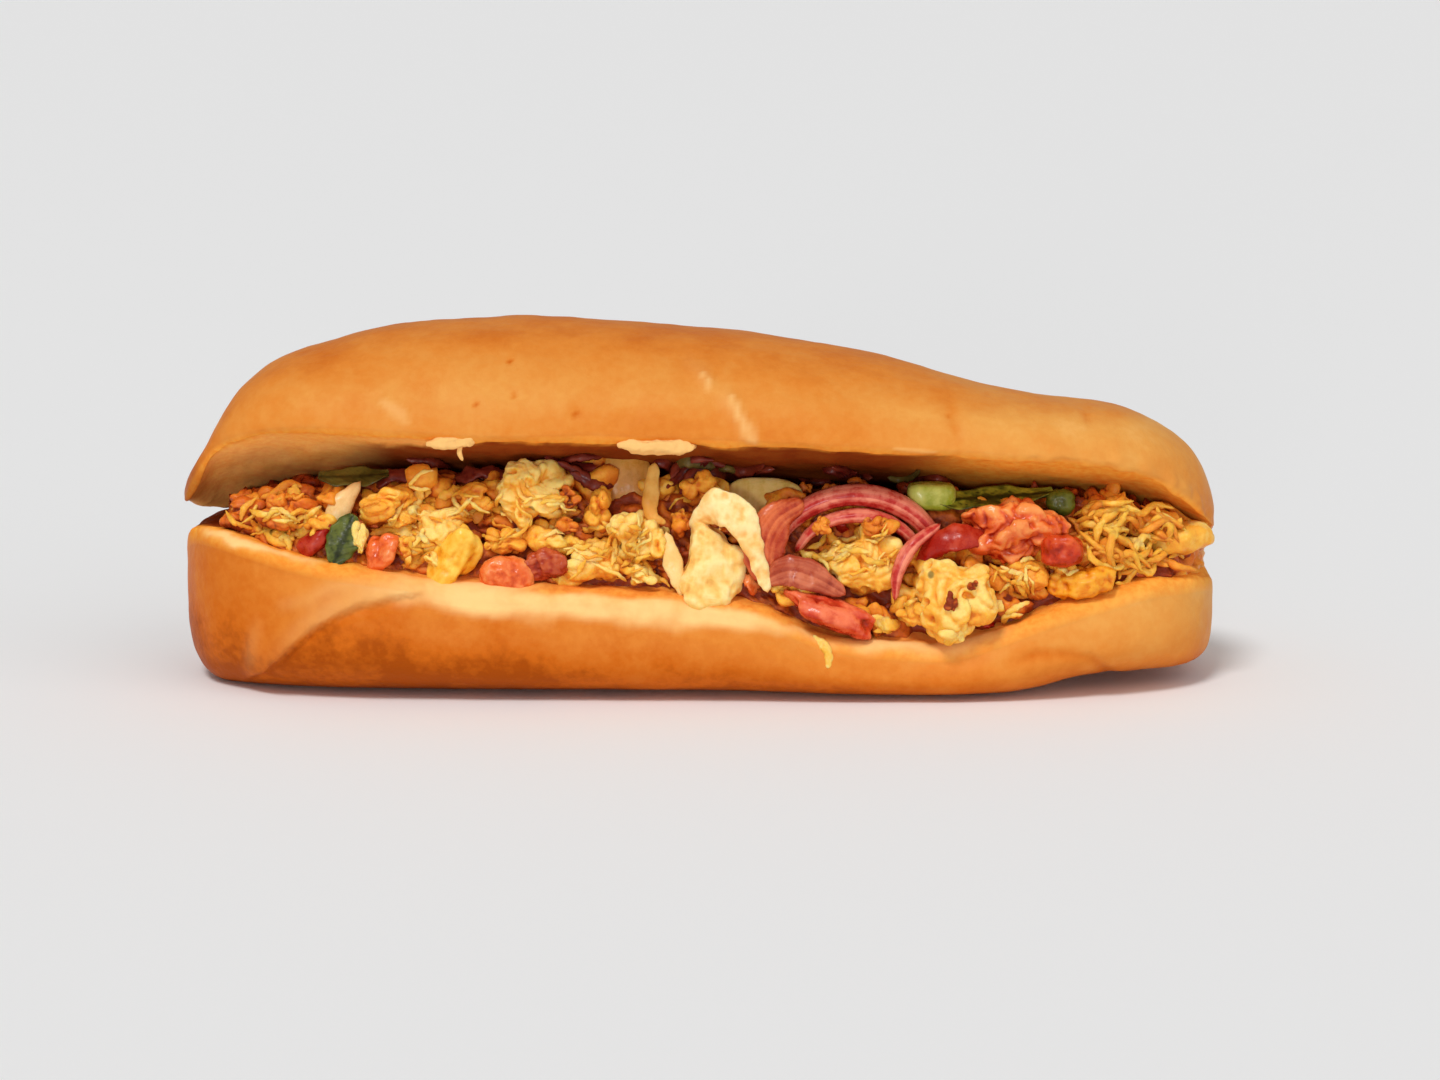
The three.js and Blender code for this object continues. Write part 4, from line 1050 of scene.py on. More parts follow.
def landing(food, covers, x, z, front=FRONT_LIMIT):
    """The place and normal where a look from the front first meets food, or None where something
    covers it or it lies before the given front."""
    start = Vector((x, START, z + 6))
    place, normal, _, reach = food.ray_cast(start, LOOK)
    cover = covers.ray_cast(start, LOOK)[3]
    if place is None or place[1] < front or (cover is not None and cover < reach - 0.01):
        return None
    return np.array(place), np.array(normal)


def on_heap(x, height, size):
    """A place on the front of the heap, from its share of the height."""
    width = plan_width(x / HALF_LENGTH, LID_PLAN)
    y = -mix(HEAP_FOOT, HEAP_BROW, height**FACE_POWER) * width
    z = mix(along(BASE_RIM, x) + 0.6 * size, along(HEAP_TOP, x), height)
    return np.stack([x, y, z], -1)


def strewn(columns, rows, sizes, seed, toppings):
    """Jittered places over the heap's front and their sizes, leaving out the curds that would hide
    a topping: where two of five looks past a curd's middle meet one behind the curd's front."""
    chance = np.random.default_rng(seed)
    i, j = np.meshgrid(np.arange(columns), np.arange(rows))
    across = i.ravel() + chance.uniform(0.1, 0.9, i.size) + 0.5 * (j.ravel() % 2)
    height = (j.ravel() + chance.uniform(0.1, 0.9, i.size)) / rows
    size = chance.uniform(*sizes, i.size)
    x = mix(HEAP_LEFT + 3, HEAP_RIGHT - 3, across / (columns + 0.5))
    at = on_heap(x, mix(0.02, 1.14, height), size)
    half = size[:, None] * chance.uniform(0.65, 1.35, (i.size, 3))
    tint = chance.uniform(0, 1, i.size)
    kept = []
    for place, radius in zip(at, size):
        met = 0
        for dx, dz in LOOK_SPREAD:
            back = place[1] - START
            start = place + (dx * radius, -back, dz * radius + back * LOOK_FALL)
            hit = toppings.ray_cast(Vector(start), LOOK)[0]
            met += hit is not None and hit[1] > place[1] - radius
        kept.append(met < 2)
    kept = np.array(kept)
    return at[kept], half[kept], tint[kept]


# Finishes
def linear(red, green, blue):
    """A colour as a screen shows it, from 0 to 255, in the linear values that shaders use."""
    shares = np.array([red, green, blue]) / 255
    curved = np.where(shares <= 0.04045, shares / 12.92, ((shares + 0.055) / 1.055) ** 2.4)
    return tuple(curved.tolist())


def node(tree, kind, inputs=(), **settings):
    """Adds a node with its settings. Each input is a value, a colour, a socket to link from, or the
    name of a layer that the piece's points carry."""
    made = tree.nodes.new("ShaderNode" + kind)
    for key, value in settings.items():
        setattr(made, key, value)
    for key, value in dict(inputs).items():
        if isinstance(value, str):
            value = node(tree, "Attribute", attribute_name=value).outputs["Fac"]
        if isinstance(value, bpy.types.NodeSocket):
            tree.links.new(value, made.inputs[key])
        elif made.inputs[key].type == "RGBA":
            made.inputs[key].default_value = (*value[:3], 1)
        else:
            made.inputs[key].default_value = value
    return made


def blended(tree, share, low, high):
    """Two colours mixed by a share."""
    return node(tree, "Mix", {0: share, 6: low, 7: high}, data_type="RGBA").outputs[2]


def sums(tree, way, *values):
    """The values combined one after another by one Math operation."""
    total = values[0]
    for value in values[1:]:
        total = node(tree, "Math", {0: total, 1: value}, operation=way).outputs[0]
    return total


def stretched(tree, value, low, high, new_low=0.0, new_high=1.0):
    """The value carried from one range to another by an S-shaped step."""
    inputs = {0: value, 1: low, 2: high, 3: new_low, 4: new_high}
    return node(tree, "MapRange", inputs, interpolation_type="SMOOTHSTEP").outputs[0]


def ramp(tree, value, stops):
    """A colour ramp through (place, colour) stops."""
    made = node(tree, "ValToRGB", {0: value})
    elements = made.color_ramp.elements
    while len(elements) < len(stops):
        elements.new(0.5)
    for element, (place, colour) in zip(elements, stops):
        element.position = place
        element.color = (*colour[:3], 1)
    return made.outputs[0]


def new_group(name, inputs, outputs):
    """An empty node group with its sockets, each given as name: kind."""
    made = bpy.data.node_groups.new(name, "ShaderNodeTree")
    for way, sockets in (("INPUT", inputs), ("OUTPUT", outputs)):
        for key, kind in sockets.items():
            made.interface.new_socket(key, in_out=way, socket_type="NodeSocket" + kind)
    entry, leave = made.nodes.new("NodeGroupInput"), made.nodes.new("NodeGroupOutput")
    return made, entry.outputs, leave.inputs


def clouds(tree, entry, detail, roughness):
    """Fractal noise over a group's Place and Scale."""
    inputs = {"Vector": entry[0], "Scale": entry[1], "Detail": detail, "Roughness": roughness}
    return node(tree, "TexNoise", inputs).outputs[0]


def patches_group():
    """Cloudy patches from 0 to 1, over object space."""
    inputs = {"Place": "Vector", "Scale": "Float"}
    made, entry, leave = new_group("patches", inputs, {"Value": "Float"})
    cloud = clouds(made, entry, 4.0, 0.6)
    made.links.new(stretched(made, cloud, 0.32, 0.68), leave[0])
    return made


def specks_group():
    """Small scattered dots: the middles of some of the cells of a Voronoi pattern."""
    inputs = {"Place": "Vector", "Scale": "Float", "Share": "Float"}
    made, entry, leave = new_group("specks", inputs, {"Mask": "Float"})
    cells = node(made, "TexVoronoi", {"Vector": entry[0], "Scale": entry[1]})
    dots = stretched(made, cells.outputs["Distance"], 0.34, 0.2)
    chance = node(made, "SeparateColor", {0: cells.outputs["Color"]}).outputs[0]
    some = node(made, "Math", {0: chance, 1: entry[2]}, operation="LESS_THAN").outputs[0]
    made.links.new(sums(made, "MULTIPLY", dots, some), leave[0])
    return made


def relief_group():
    """The fine relief of a moist skin, as a normal: small bumps of the given scale and height."""
    inputs = {"Place": "Vector", "Scale": "Float", "Strength": "Float"}
    made, entry, leave = new_group("fine_relief", inputs, {"Normal": "Vector"})
    cloud = clouds(made, entry, 5.0, 0.62)
    bump = node(made, "Bump", {"Height": cloud, "Strength": entry[2], "Distance": 0.0006})
    made.links.new(bump.outputs[0], leave[0])
    return made


def use(tree, name, **values):
    """Places a shared group with its values, and gives its first output."""
    makers = {"patches": patches_group, "specks": specks_group, "fine_relief": relief_group}
    shared = bpy.data.node_groups.get(name) or makers[name]()
    return node(tree, "Group", values, node_tree=shared).outputs[0]


def finish(name, **constants):
    """A new material with constants on its Principled shader: the material, its tree and its object
    coordinates."""
    made = bpy.data.materials.new(name)
    made.use_nodes = True
    tree = made.node_tree
    for key, value in constants.items():
        tree.nodes["Principled BSDF"].inputs[key.replace("_", " ")].default_value = value
    return made, tree, node(tree, "TexCoord").outputs["Object"]


def coated(made, place, colour, rough, scale, strength):
    """The material, with its colour, roughness and fine relief linked to its shader."""
    tree = made.node_tree
    normal = use(tree, "fine_relief", Place=place, Scale=scale, Strength=strength)
    for key, socket in (("Base Color", colour), ("Roughness", rough), ("Normal", normal)):
        tree.links.new(socket, tree.nodes["Principled BSDF"].inputs[key])
    return made


def bread_finish(look):
    """Crust from pale to brown by its bake layer, which holds painted shade too, crumb on the cut
    faces, sauce, stain that is partly painted shade, and pale skin that holds painted highlights
    and light.
    """
    made, tree, place = finish(
        "baked_bread", Subsurface_Weight=0.03, Subsurface_Radius=(1, 0.5, 0.2),
        Subsurface_Scale=0.002, Specular_IOR_Level=0.04,
    )
    broad, fine, pores, cloud = (
        use(tree, "patches", Place=place, Scale=scale) for scale in (70.0, 520.0, 650.0, 150.0)
    )
    drift = stretched(tree, broad, 0, 1, -0.055, 0.055)
    grain = stretched(tree, fine, 0, 1, -0.025, 0.025)
    skin = ramp(tree, sums(tree, "ADD", "bake", drift, grain), [
        (0.0, look.palest), (0.36, look.golden), (0.64, look.baked), (0.88, look.brown),
        (1.0, look.darkest),
    ])
    colour = blended(tree, "crumb", skin, blended(tree, pores, look.crumb_shade, look.crumb))
    # Pale skin, with painted highlights and painted light mixed in
    stretch = sums(tree, "MULTIPLY", "pale", stretched(tree, broad, 0, 1, 0.6, 1.0))
    colour = blended(tree, stretch, colour, look.pale_skin_and_highlight)
    wet = sums(tree, "MULTIPLY", "soak", stretched(tree, broad, 0, 1, 0.55, 1.0))
    colour = blended(tree, wet, colour, blended(tree, fine, look.sauce, look.sauce_deep))
    # Stain and painted shade in the mouth
    soaked_and_shaded = sums(tree, "MULTIPLY", "stain", stretched(tree, cloud, 0, 1, 0.94, 1.0))
    colour = blended(tree, soaked_and_shaded, colour, look.stain)
    rough = stretched(tree, "crumb", 0, 1, 0.4, 0.75)
    rough = sums(tree, "SUBTRACT", rough, sums(tree, "MULTIPLY", wet, 0.3))
    return coated(made, place, colour, rough, 700.0, 0.22)


def egg_finish(look):
    """Egg from pale cream to soaked brown by its tint, darker in its crevices, where it is sunk and
    where it faces down, with herb specks. The darkening is painted shade, and where it is sunk also
    soaking sauce."""
    made, tree, place = finish(
        "scrambled_egg", Subsurface_Weight=0.35, Subsurface_Radius=(1, 0.5, 0.15),
        Subsurface_Scale=0.003, IOR=1.4, Specular_IOR_Level=0.3,
    )
    broad = use(tree, "patches", Place=place, Scale=210.0)
    fine = use(tree, "patches", Place=place, Scale=900.0)
    # The ramp's value: the tint, plus painted shade in crevices, deep in the heap and on
    # down-facing skin
    stain = sums(
        tree, "ADD", "tint", stretched(tree, "hollow", 0.4, 1, -0.03, 0.3),
        stretched(tree, broad, 0, 1, -0.1, 0.1), stretched(tree, fine, 0, 1, -0.04, 0.04),
        sums(tree, "MULTIPLY", "sunk", 0.38), stretched(tree, "under", 0.3, 1, -0.04, 0.2),
    )
    colour = ramp(tree, stain, [
        (0.0, look.cream), (0.22, look.yellow), (0.48, look.golden), (0.76, look.orange),
        (1.0, look.soaked_and_shaded),
    ])
    herbs = use(tree, "specks", Place=place, Scale=330.0, Share=0.014)
    colour = blended(tree, sums(tree, "MULTIPLY", herbs, 0.8), colour, look.herb_speck)
    rough = stretched(tree, fine, 0, 1, 0.3, 0.52)
    return coated(made, place, colour, rough, 1000.0, 0.35)


def wet_finish(name, light, main, deep, rough, lined, glow):
    """Moist vegetable: patches between three colours, with painted light on its crests and painted
    shade in its crevices and where it faces down, and fine lines that run along the piece where it
    is lined, as onion layers are, under a wet coat."""
    made, tree, place = finish(
        name, Subsurface_Weight=glow, Subsurface_Radius=(1, 0.4, 0.25), Subsurface_Scale=0.002,
        IOR=1.42, Specular_IOR_Level=0.35, Coat_Weight=0.18 if rough < 0.3 else 0.05,
        Coat_Roughness=0.1,
    )
    broad = use(tree, "patches", Place=place, Scale=150.0)
    fine = use(tree, "patches", Place=place, Scale=600.0)
    along_it = {"W": sums(tree, "MULTIPLY", "flow", 0.9), "Scale": 1.0, "Detail": 2.0}
    lines = node(tree, "TexNoise", along_it, noise_dimensions="1D").outputs[0]
    value = sums(
        tree, "ADD", stretched(tree, "hollow", 0.25, 0.85, 0.2, -0.3),
        stretched(tree, broad, 0, 1, 0.32, 0.68), stretched(tree, fine, 0, 1, -0.03, 0.03),
        stretched(tree, "under", 0.4, 1, 0.04, -0.26),
        stretched(tree, lines, 0.3, 0.7, -0.45 * lined, 0.45 * lined),
    )
    colour = ramp(tree, value, [(0.0, deep), (0.5, main), (1.0, light)])
    rough = stretched(tree, fine, 0, 1, rough - 0.08, rough + 0.12)
    return coated(made, place, colour, rough, 900.0, 0.12)


# What lies on the heap
def arc(centre, wide, tall, start, stop, lean=1.0, count=9):
    """Points on an arc of an onion ring that stands in the mouth and leans forward at its top."""
    x, y, z = centre
    angle = np.radians(np.linspace(start, stop, count))
    up = np.sin(angle)
    return np.stack([x + wide * np.cos(angle), y - lean * up, z + tall * up], -1).tolist()


TOPPINGS = (
    ("tomato_left_end", "tomato_skin", lump, dict(
        at=(-75.8, -26.4, 31.2), half=(4.2, 2.8, 2.4), turn=(0, -35, 0), rough=0.2, seed=3,
        crags=0.2)),
    ("herb_leaf_left", "herb", leaf, dict(
        at=(-70.4, -28.6, 31.8), long=10.4, wide=6.6, thick=1.0, turn=(80, 0, 68), curl=1.1,
        wave=1.0)),
    ("herb_leaf_upper_left", "herb", leaf, dict(
        at=(-69, -20, 42.6), long=14, wide=6, thick=0.8, turn=(30, 0, 4))),
    ("white_onion_finger", "white_onion", ribbon, dict(
        path=((-73, -26, 33.5), (-71.4, -25.6, 37.6), (-67.8, -23, 42)), wide=(4.4, 5, 3),
        thick=2.6, crags=0.05)),
    ("tomato_left", "tomato", lump, dict(
        at=(-62.4, -29, 29.6), half=(3, 2.8, 3.4), turn=(0, 20, 10), boxy=1.15, rough=0.26, seed=5,
        crags=0.3)),
    ("red_onion_sliver_left", "dark_onion", ribbon, dict(
        path=((-67, -17, 41), (-60, -20, 43.2), (-52, -18.5, 42)), face=(0, -1, 1),
        wide=(2, 4.6, 2.6, 4, 2), thick=1.4, ragged=0.4, crags=0.4)),
    ("yellow_pepper_left", "yellow_pepper", lump, dict(
        at=(-48.6, -29.2, 28.4), half=(3.8, 2.8, 6.8), turn=(0, 32, 0), boxy=1.0, rough=0.3, seed=8,
        crags=0.3)),
    ("red_onion_sliver_middle", "dark_onion", ribbon, dict(
        path=((-50, -19, 42), (-43, -21, 44), (-37, -19, 42.6)), face=(0, -1, 1),
        wide=(2, 4.2, 2.4, 4.4, 1.6), thick=1.4, ragged=0.4, crags=0.4)),
    ("tomato_middle", "tomato", lump, dict(
        at=(-38.6, -29.8, 24.6), half=(4.8, 3.2, 3.4), turn=(0, 8, 0), boxy=1.2, rough=0.24,
        seed=13, crags=0.3)),
    ("tomato_skin_middle", "tomato_skin", lump, dict(
        at=(-30.4, -29.4, 26.8), half=(4.6, 2.6, 2.9), turn=(0, -12, 0), rough=0.3, seed=14,
        crags=0.55)),
    ("white_onion_slice_left", "white_onion", lump, dict(
        at=(-15.6, -19.6, 42.4), half=(6, 1.6, 5), turn=(-12, 0, 0), boxy=1.5, rough=0.05, seed=21,
        crags=0.04)),
    ("omelette_strip", "omelette", ribbon, dict(
        path=((-7, -27.4, 35), (-9.6, -27.2, 36.6), (-9.6, -25, 41.4), (-9, -23.4, 46)),
        wide=(2.4, 3.2, 3.4), thick=1.4, ragged=0.16, crags=0.2)),
    ("omelette_corner", "omelette", ribbon, dict(
        path=((-3.6, -31.8, 20.8), (-5.2, -30.8, 27), (-6.6, -28.4, 33)), wide=(2, 4, 3.2),
        thick=1.4, tip=0.12, ragged=0.14, crags=0.18)),
    ("egg_white_block", "omelette", lump, dict(
        at=(2.4, -29.6, 26.4), half=(6, 3.4, 6.8), turn=(0, 8, 12), boxy=1.8, rough=0.24, seed=26,
        detail=6, crags=0.6, grain=4.4)),
    ("omelette_fold", "omelette", ribbon, dict(
        path=(
            (-1.6, -28, 34.4), (3.4, -30.6, 38.2), (8, -31.6, 36.4), (10.8, -32, 30),
            (13.2, -32, 22.4),
        ),
        face=(0.1, -1, 0.2), wide=(4, 8.4, 6.6, 4.4, 3.4), thick=1.8, tip=0.4, steps=84, sides=36,
        ragged=0.2, crags=0.4, grain=3.2)),
    ("white_onion_slice_right", "white_onion", lump, dict(
        at=(13, -20, 38.4), half=(7.6, 1.6, 4.2), turn=(-20, 0, 0), boxy=1.5, rough=0.05, seed=22,
        crags=0.04)),
    ("onion_wall", "pink_onion", ribbon, dict(
        path=((13, -30, 24), (12.6, -30, 30), (15, -28.6, 35.6), (20, -26.4, 38.6)),
        face=(0, -1, 0.1), wide=(7, 8.8, 7.4, 4), thick=2.2, tip=0.6, steps=60, sides=28,
        ragged=0.1, crags=0.3, grain=4.0)),
    ("onion_petal", "pink_onion", ribbon, dict(
        path=((12.4, -31, 23.6), (17.4, -32.4, 26), (23, -32.6, 24.6), (28.4, -31.6, 21.4)),
        face=(0, -1, 0.3), wide=(4, 6.8, 6.2, 4), thick=2, tip=0.3, steps=60, sides=28, ragged=0.14,
        crags=0.3, grain=4.0)),
    ("onion_ring_outer", "pink_onion", ribbon, dict(
        path=arc((31, -23.6, 25), 17, 15, 165, 4), wide=(4, 4.4, 4.6, 4), thick=5.6, tip=0.6,
        steps=84, sides=24, ragged=0.06, crags=0.06)),
    ("onion_ring_inner", "pink_onion", ribbon, dict(
        path=arc((31.4, -25.4, 25), 13, 11.2, 155, 25), wide=(2.4, 3, 2.6), thick=5, tip=0.6,
        steps=72, sides=24, ragged=0.06, crags=0.06)),
    ("tomato_lip", "tomato", lump, dict(
        at=(26.4, -32.2, 17.4), half=(9.2, 3.2, 2.9), turn=(0, 19, 0), rough=0.22, seed=34,
        crags=0.4, grain=3.6)),
    ("onion_arc_right", "pink_onion", ribbon, dict(
        path=((38.6, -31, 20.6), (39.2, -31.6, 26), (42, -31, 31), (47, -28.4, 34.4)),
        wide=(2, 3, 2.6), thick=3, tip=0.5, sides=24, ragged=0.06, crags=0.06)),
    ("green_pepper_piece", "green_pepper", lump, dict(
        at=(46.4, -20, 39.2), half=(4.8, 3.2, 2.8), turn=(0, 2, 0), boxy=1.8, rough=0.05, seed=37,
        crags=0.1)),
    ("tomato_skin", "tomato_skin", ribbon, dict(
        path=((43.6, -29, 27), (47.4, -30.2, 31.4), (52.4, -30.4, 32.6), (58, -28, 31.6)),
        face=(0, -1, 0.7), wide=(4.6, 6, 5), thick=1.8, tip=0.5, ragged=0.25, crags=0.3,
        grain=3.0)),
    ("herb_leaf_right", "herb", leaf, dict(
        at=(58, -20.6, 38.4), long=25, wide=7.5, thick=0.9, turn=(24, -3, 2), curl=1.2)),
    ("tomato_chunk", "tomato", ragged_piece, dict(
        at=(63, -26.4, 33.6), half=(13.4, 6.4, 7), seed=41)),
    ("tomato_heart", "tomato_skin", lump, dict(
        at=(71.6, -31, 30.2), half=(4.3, 3, 3), rough=0.22, seed=43, crags=0.3)),
    ("yellow_pepper_right", "yellow_pepper", lump, dict(
        at=(75.4, -29, 23), half=(6, 2.8, 2.9), turn=(0, -16, 0), boxy=1.2, rough=0.3, seed=47,
        crags=0.5)),
    ("herb_leaf_right_end", "herb", lump, dict(
        at=(72, -21.6, 38.2), half=(3, 2, 2.6), seed=49, crags=0.3)),
)


def flakes():
    """The two torn flakes on the lid's rim and a thin shred that hangs from it."""
    left = lump((-48.5, -33.6, 51.9), (4.6, 1.6, 1.2), (0, -2, 0), seed=51, crags=0.35)
    middle = lump((-7.6, -33.8, 51.2), (7.4, 1.7, 1.5), (0, 1, 0), seed=52, crags=0.4)
    path = (-46.6, -33.6, 51.6), (-47, -34, 50), (-46.4, -33.8, 48.4)
    return join([left, middle, ribbon(path, 1, 0.5, steps=14, sides=8, crags=0.05)])


# Things strewn over the heap. The sizes of strips are the least and most of their length, width
# and thickness; those of the gap lie between the heap's top and the lid
FLAT = (4, 9), (1.8, 3.4), (0.9, 1.4)
LONG = (7, 13), (1, 1.9), (0.8, 1.2)
FINE = (3, 7.5), (0.6, 1.4), (0.4, 0.8)
SLIVERS = {
    "sizes": ((6, 13), (1.2, 3), (0.6, 1.1)), "low": HEAP_TOP, "front": -24, "drop": 7,
}
FLAT_STRIPS = (
    dict(count=44, span=(-93, -44), rise=(0.0, 0.62), sizes=FLAT, seed=31),
    dict(count=44, span=(-44, 62), rise=(0.0, 0.62), sizes=FLAT, seed=33),
)
FINE_STRIPS = (
    dict(
        count=54, span=(76, 94), rise=(0.05, 0.95), sizes=LONG, seed=36, tints=(0.2, 0.56),
        lift=2.4,
    ),
    dict(count=90, span=(-92, 6), rise=(0.0, 0.62), sizes=FINE, seed=38, tints=(0, 0.42)),
    dict(count=36, span=(22, 76), rise=(0.0, 0.56), sizes=FINE, seed=39, tints=(0, 0.42)),
)
ONION_SLIVERS = dict(SLIVERS, count=72, span=(-62, 50), rise=(-0.1, 0.66), seed=41)
HERB_SLIVERS = dict(SLIVERS, count=12, span=(-14, 42), rise=(0, 0.7), seed=42)
CRUMB_DETAIL = 3


def looked_at(food, covers, count, span, rise, seed):
    """Seeded places and normals on the food: within a span along the roll, and within two shares of
    the height between the lower and upper rim."""
    chance = np.random.default_rng(seed)
    places, normals = [], []
    for _ in range(4 * count):
        x = chance.uniform(*span)
        low, high = float(along(BASE_RIM, x)), float(along(LID_RIM, x))
        found = landing(food, covers, x, mix(low, high, chance.uniform(*rise)))
        if found and len(places) < count:
            places.append(found[0])
            normals.append(found[1])
    return np.array(places), np.array(normals)


def crumbs(places, normals, sizes, flat, seed):
    """One small uneven body at each place: a ball drawn out by chance along the surface and thinned
    across it to the flat share, with a bumpy skin."""
    chance = np.random.default_rng(seed)
    ways, faces = ball(CRUMB_DETAIL)
    count = len(places)
    across = unit(np.cross(normals, chance.normal(size=(count, 3))))
    beside = np.cross(normals, across)
    size = chance.uniform(*sizes, count)[:, None, None]
    stretch = chance.uniform(0.6, 1.35, (count, 2))
    rough = fractal(1.7 * ways[None] + 9 * chance.random((count, 1, 3)), 2, seed)
    body = ways[None] * (1 + 0.45 * rough)[..., None]
    points = places[:, None] + size * (
        across[:, None] * body[..., :1] * stretch[:, :1, None]
        + beside[:, None] * body[..., 1:2] * stretch[:, 1:, None]
        + normals[:, None] * (body[..., 2:] * flat + 0.3 * flat)
    )
    tint = np.repeat(chance.random(count), len(ways))
    all_faces = (faces[None] + len(ways) * np.arange(count)[:, None, None]).reshape(-1, 3)
    flow = np.tile(ways[:, 0], count)
    hollow = np.full(count * len(ways), 0.4)
    return points.reshape(-1, 3), all_faces, {"hollow": hollow, "tint": tint, "flow": flow}


def shreds(
    food, covers, count, span, rise, sizes, seed, tints=(0, 0.6), lift=0.9, low=BASE_RIM,
    front=FRONT_LIMIT, drop=3.5,
):
    """Thin strips draped over the heap. Each follows four places where looks from the front land, a
    step apart in one direction that veers, and lifts off between them. The rise is a share of the
    height from the low line to the lid's rim; the sizes are the lengths, widths and thicknesses. A
    strip that would fall back by more than the drop in one step is left out."""
    chance = np.random.default_rng(seed)
    long, wide, thick = sizes
    parts = []
    for tries in range(6 * count):
        x = chance.uniform(*span)
        z = mix(float(along(low, x)), float(along(LID_RIM, x)), chance.uniform(*rise))
        heading = chance.uniform(-0.9, 0.9) + math.pi * (chance.random() < 0.5)
        reach = chance.uniform(*long) / 3
        path = []
        for step in range(4):
            found = landing(food, covers, x, z, front)
            if found is None:
                break
            path.append(found[0] + found[1] * chance.uniform(0.4, lift))
            heading += chance.uniform(-0.7, 0.7)
            x += reach * math.cos(heading)
            z += reach * math.sin(heading)
        steep = len(path) == 4 and np.abs(np.diff(np.array(path)[:, 1])).max() > drop
        if len(path) < 4 or steep or len(parts) >= count:
            continue
        points, faces, layers = ribbon(
            path, chance.uniform(*wide), chance.uniform(*thick), (0, -1, 0.3), 0.2, 16, 8,
            ragged=0.4, crags=0.2, grain=1.2, seed=seed + tries,
        )
        # More orange at the left end, as painted shade of the lid
        tint = chance.uniform(*tints) + 0.14 * smooth(-64, -84, path[0][0])
        parts.append(as_egg(points, faces, layers, tint, 0.6 * sunk(points)))
    if not parts:
        raise RuntimeError(f"no shred of seed {seed} landed on the heap")
    return join(parts)


def drip(bread):
    """A thin run of egg down the front of the lower half."""
    ways = ((22.6, 13.2), (24.4, 11.6), (25.4, 9.8), (25.2, 7.6))
    forward = Vector((0, 1, 0))
    path = [np.array(bread.ray_cast(Vector((x, START, z)), forward)[0]) for x, z in ways]
    strip = ribbon(
        path, (1.6, 2.2, 1.8, 2.4), 1, (0, -1, 0.2), 0.3, 40, 14, ragged=0.3, crags=0.12, seed=75)
    return as_egg(*strip, 0.2)


def tongue():
    """The smooth fold of egg that fills the right end of the mouth."""
    fold = lump(
        (95.4, -14, 29.4), (8.4, 6, 3.2), (0, -4, -38), rough=0.2, seed=71, crags=0.4, grain=4.0)
    return as_egg(*fold, 0.24)


# Settings
def colour_of(name, red, green, blue):
    """A colour setting, whose default is given as a screen shows it."""
    return bpy.props.FloatVectorProperty(
        name=name, description=f"{name} of the food, as a linear colour", size=3, min=0, max=1,
        subtype="COLOR", default=linear(red, green, blue),
    )


def number_of(name, description, default, **limits):
    """A number setting."""
    return bpy.props.FloatProperty(name=name, description=description, default=default, **limits)


class BreadLook(bpy.types.PropertyGroup):
    palest: colour_of("Palest crust", 244, 192, 116)
    golden: colour_of("Golden crust", 228, 158, 76)
    baked: colour_of("Baked crust", 220, 132, 50)
    brown: colour_of("Brown crust", 204, 103, 22)
    darkest: colour_of("Darkest crust", 170, 78, 10)
    crumb: colour_of("Crumb", 255, 178, 70)
    crumb_shade: colour_of("Crumb pores", 250, 150, 46)
    # Pale stretched skin, also used for painted highlights and painted light
    pale_skin_and_highlight: colour_of("Stretched skin", 250, 204, 132)
    sauce: colour_of("Soaked sauce", 246, 164, 72)
    sauce_deep: colour_of("Deep sauce", 230, 126, 46)
    # Stain, also used for painted shade in the mouth
    stain: colour_of("Stain", 136, 56, 16)


class EggLook(bpy.types.PropertyGroup):
    cream: colour_of("Cream egg", 255, 214, 120)
    yellow: colour_of("Yellow egg", 252, 182, 64)
    golden: colour_of("Golden egg", 238, 148, 44)
    orange: colour_of("Orange egg", 214, 106, 30)
    # Soaked egg, also the colour of the deepest painted shade
    soaked_and_shaded: colour_of("Soaked egg", 138, 50, 16)
    herb_speck: colour_of("Herb specks", 110, 90, 24)
    curds: bpy.props.IntProperty(
        name="Curds", description="Columns of curds", default=36, min=8, max=60)


class ToppingLook(bpy.types.PropertyGroup):
    tomato: colour_of("Tomato", 230, 100, 38)
    tomato_skin: colour_of("Tomato skin", 160, 24, 12)
    pink_onion: colour_of("Pink onion", 194, 50, 42)
    dark_onion: colour_of("Dark onion", 98, 24, 18)
    white_onion: colour_of("White onion", 222, 186, 96)
    yellow_pepper: colour_of("Yellow pepper", 246, 174, 42)
    green_pepper: colour_of("Green pepper", 166, 178, 52)
    omelette: colour_of("Omelette", 250, 194, 110)
    herb: colour_of("Herb", 72, 78, 16)


class StageLook(bpy.types.PropertyGroup):
    floor: colour_of("Floor", 247, 247, 247)
    sky: number_of("Sky", "Strength of the even light", 0.36, min=0)
    key: number_of("Key", "Strength of the key light", 1.5, min=0)
    fill: number_of("Fill", "Strength of the fill light", 0.5, min=0)
    front: number_of("Front", "Strength of the front light", 0.67, min=0)
    distance: number_of("Distance", "Camera to sandwich", 0.82, min=0.2, unit="LENGTH")
    elevation: number_of("Elevation", "Camera above level", ELEVATION, subtype="ANGLE")
    lens: number_of("Lens", "Focal length in mm", 100, min=20)


